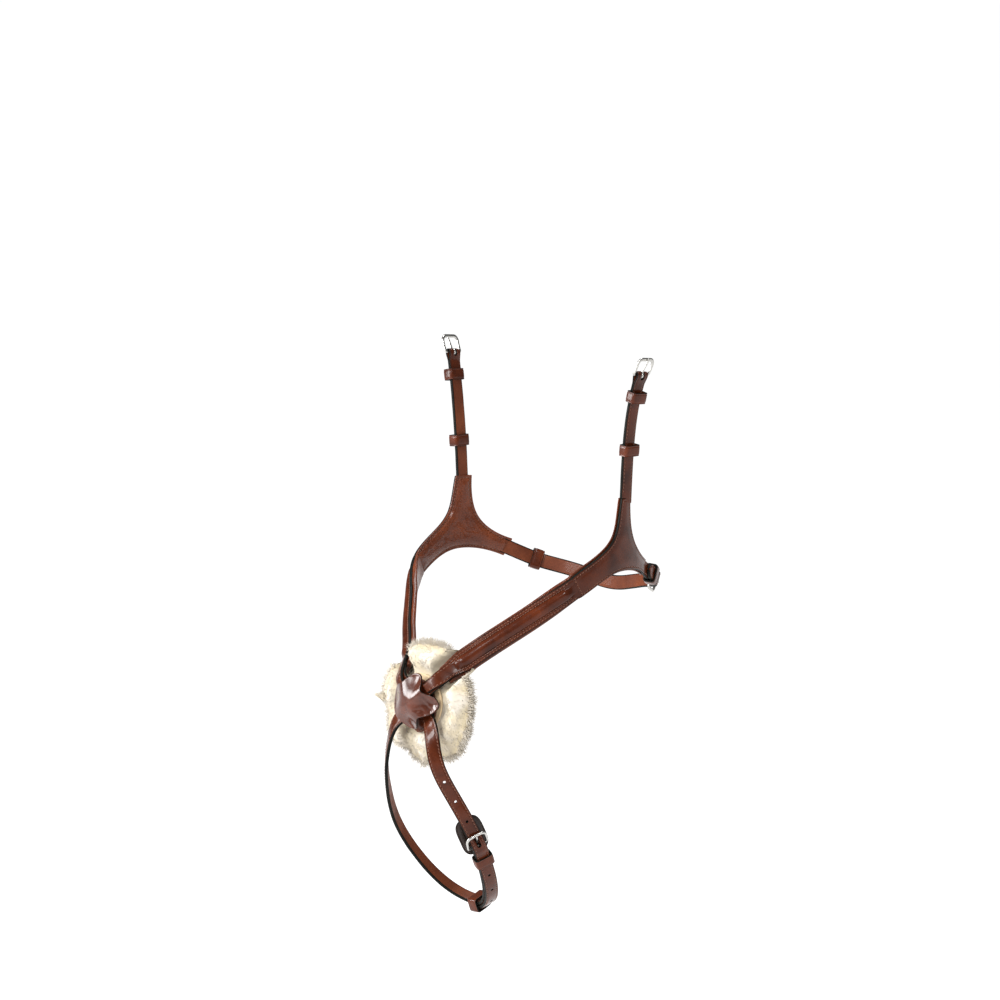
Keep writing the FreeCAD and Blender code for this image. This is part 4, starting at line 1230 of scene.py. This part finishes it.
def fleece():
    """The sheepskin: a lumpy body, and thousands of fine tapering locks that stand out of it."""
    random.seed(SEED)
    skin, tans_and_painted_shades = Skin(), []
    spokes = 150
    shape = [(share, 0) for share in list(np.linspace(0.30, 0.97, 34)) + [1.0]]
    shape += [(share, 1) for share in [0.985] + list(np.linspace(0.95, 0.04, 26))]
    rings = []
    for share, face in shape:
        ring = []
        for j in range(spokes):
            degrees = TURN * j / spokes
            x, z = polar(degrees, wool_reach(degrees) * share)
            y, lock = (wool_back if face else wool_front)(x, z)
            if face:
                y = max(y, strap_depth(x, z) + 3.0)
            if share >= 0.985:
                y = (wool_front(x, z)[0] + wool_back(x, z)[0]) / 2 + (3.0 if share < 1 else 0.0)
            ring.append(Vector((x, y, z)))
            # Painted shade: the wool turns tan in the partings between its locks; it is also tanner along the
            # rim.
            tans_and_painted_shades.append(0.05 + 0.5 * (1 - lock) + 0.25 * between([(0.85, 0.0), (1.0, 1.0)], share))
        rings.append(ring)
    inner = [Vector((p.x, HIDE_BACK + 0.9, p.z)) for p in rings[0]]
    skin.rings([inner] + rings, [0])
    # Painted shade: the inner ring against the hide and the two cap centres are tan.
    tans_and_painted_shades = [0.6] * spokes + tans_and_painted_shades + [0.5, 0.5]

    def lock_of_wool(root, way, length, width, tan_and_painted_shade, bend):
        """One tapering lock, bent towards a direction."""
        side = way.orthogonal().normalized()
        third = way.cross(side)
        rings = []
        for share, swell in LOCK_SHAPE:
            middle = root + way * length * share + bend * (share ** 1.8)
            rings.append([middle + (side * math.cos(a) + third * math.sin(a)) * width * swell
                          for a in (0.3, 0.3 + math.tau / 3, 0.3 + 2 * math.tau / 3)])
        skin.rings(rings, [0])
        # Painted shade: each lock is tanner towards its root.
        for share, _ in LOCK_SHAPE:
            tans_and_painted_shades.extend([min(1.0, tan_and_painted_shade + 0.1 * (1 - share))] * 3)
        tans_and_painted_shades.extend([min(1.0, tan_and_painted_shade + 0.1), tan_and_painted_shade])

    def scatter(count, low, high, face, length, width):
        """Plants locks on a face between two shares of the reach, clear of the nose straps."""
        for _ in range(count):
            degrees = random.uniform(0, TURN)
            share = math.sqrt(random.uniform(low ** 2, high ** 2))
            turn = math.radians(degrees)
            x, z = polar(degrees, wool_reach(degrees) * share)
            if face == "rim":
                front, back = wool_front(x, z)[0], wool_back(x, z)[0]
                y, lock = random.uniform(front + 0.5, back - 0.5), random.random()
                away = Vector((math.cos(turn), 0.0, math.sin(turn)))
            else:
                y, lock = (wool_front if face == "front" else wool_back)(x, z)
                lift = 1.0 if face == "back" else -1.0
                away = Vector((math.cos(turn) * 0.75, lift * (0.55 - 0.3 * share), math.sin(turn) * 0.75))
            if strap_depth(x, z) > y - 0.5:
                continue
            way = (away + Vector([random.gauss(0, 0.32) for _ in range(3)])).normalized()
            bend = Vector([random.gauss(0, 1.0) for _ in range(3)]) + Vector((0, 0, -0.6))
            root = Vector((x, y, z)) - way * 1.2
            # Painted shade: locks that grow from partings are tanner, by a random amount.
            tan_and_painted_shade = 0.03 + 0.22 * (1 - lock) * random.random()
            lock_of_wool(root, way, random.uniform(*length), random.uniform(*width), tan_and_painted_shade, bend)

    scatter(2600, 0.58, 1.0, "front", (1.8, 3.4), (0.2, 0.4))
    scatter(4200, 0.05, 1.0, "back", (1.6, 3.0), (0.22, 0.45))
    scatter(4600, 0.93, 1.0, "rim", (4.5, 8.6), (0.15, 0.42))
    # One lock stands out of the rim on the horse's right.
    stray = Vector((-50.0, 16.0, -4.0))
    tip = stray + Vector((-10.0, -9.0, 4.0))
    for _ in range(90):
        root = stray + Vector([random.gauss(0, 1.6), random.gauss(0, 1.6), random.gauss(0, 2.6)])
        end = tip + Vector([random.gauss(0, 0.7) for _ in range(3)])
        lock_of_wool(root, (end - root).normalized(), (end - root).length * random.uniform(0.7, 1.0),
                     random.uniform(0.25, 0.5), 0.3, Vector([random.gauss(0, 0.5) for _ in range(3)]))
    item = skin.piece("sheepskin_fleece", [WOOL], "root", "wool", ["sheepskin_wool"])
    layer = item.data.attributes.new("tan_and_painted_shade", "FLOAT", "POINT")
    layer.data.foreach_set("value", np.array(tans_and_painted_shades, np.float32))


fleece()

# ---------------------------------------------------------------- what stays of the CAD
for subpart in frame["record"]["subparts"]:
    node = frame["nodes"][subpart["node"]]
    if not node.hide_render:
        node.data.materials.clear()
        node.data.materials.append(CAD_LOOKS[subpart["material_slot"]])

# ---------------------------------------------------------------- floor, lights and camera
TARGET = Vector((51.9, 51.9, 178.3)) * MM
FLOOR = -0.30
AZIMUTH, ELEVATION, DISTANCE, LENS = math.radians(45), math.radians(8), 7.25, 300.0


def floor():
    """A wide pale floor."""
    mesh = bpy.data.meshes.new("floor")
    rim = [(40 * math.cos(t), 40 * math.sin(t), FLOOR) for t in np.linspace(0, math.tau, 65)[:-1]]
    mesh.from_pydata(rim, [], [tuple(range(64))])
    item = put("floor", mesh)
    look = Look("floor", Roughness=0.9, Specular_IOR_Level=0.1, Emission_Strength=0.95,
                Emission_Color=(1, 1, 1, 1))
    shade = look.noise(3.0, 2.0)
    look.set("Base Color", look.mix(look.ramp(shade, 0.3, 0.7), (0.33, 0.33, 0.33, 1), (0.36, 0.36, 0.36, 1)))
    mesh.materials.append(look.material)


def lamp(name, place, size, power):
    """A soft square light that looks at the middle of the noseband."""
    data = bpy.data.lights.new(name, "AREA")
    data.size, data.energy = size, power
    item = put(name, data)
    item.location = TARGET + Vector(place)
    item.rotation_euler = (-Vector(place)).to_track_quat("-Z", "Y").to_euler()


floor()
toward = Vector((math.sin(AZIMUTH), -math.cos(AZIMUTH), 0))
right = Vector((math.cos(AZIMUTH), math.sin(AZIMUTH), 0))
up = Vector((0, 0, 1))
lamp("key", toward * 1.15 - right * 1.3 + up * 0.75, 0.6, 30)
lamp("side", toward * 0.2 - right * 1.7 + up * 0.35, 0.75, 32)
lamp("front", toward * 1.7 + right * 0.35 + up * 1.1, 0.5, 16)
lamp("top", up * 1.9 - toward * 0.2 + right * 0.2, 0.9, 30)

world = bpy.data.worlds.new("studio")
world.use_nodes = True
bpy.context.scene.world = world
world.node_tree.nodes["Background"].inputs["Color"].default_value = (0.17, 0.17, 0.17, 1)

lens = bpy.data.cameras.new("camera")
lens.lens, lens.sensor_width = LENS, 36.0
camera = put("camera", lens)
way = toward * math.cos(ELEVATION) + up * math.sin(ELEVATION)
camera.location = TARGET + way * DISTANCE
camera.rotation_euler = (-way).to_track_quat("-Z", "Y").to_euler()
bpy.context.scene.camera = camera
bpy.context.scene.view_settings.view_transform = "Standard"
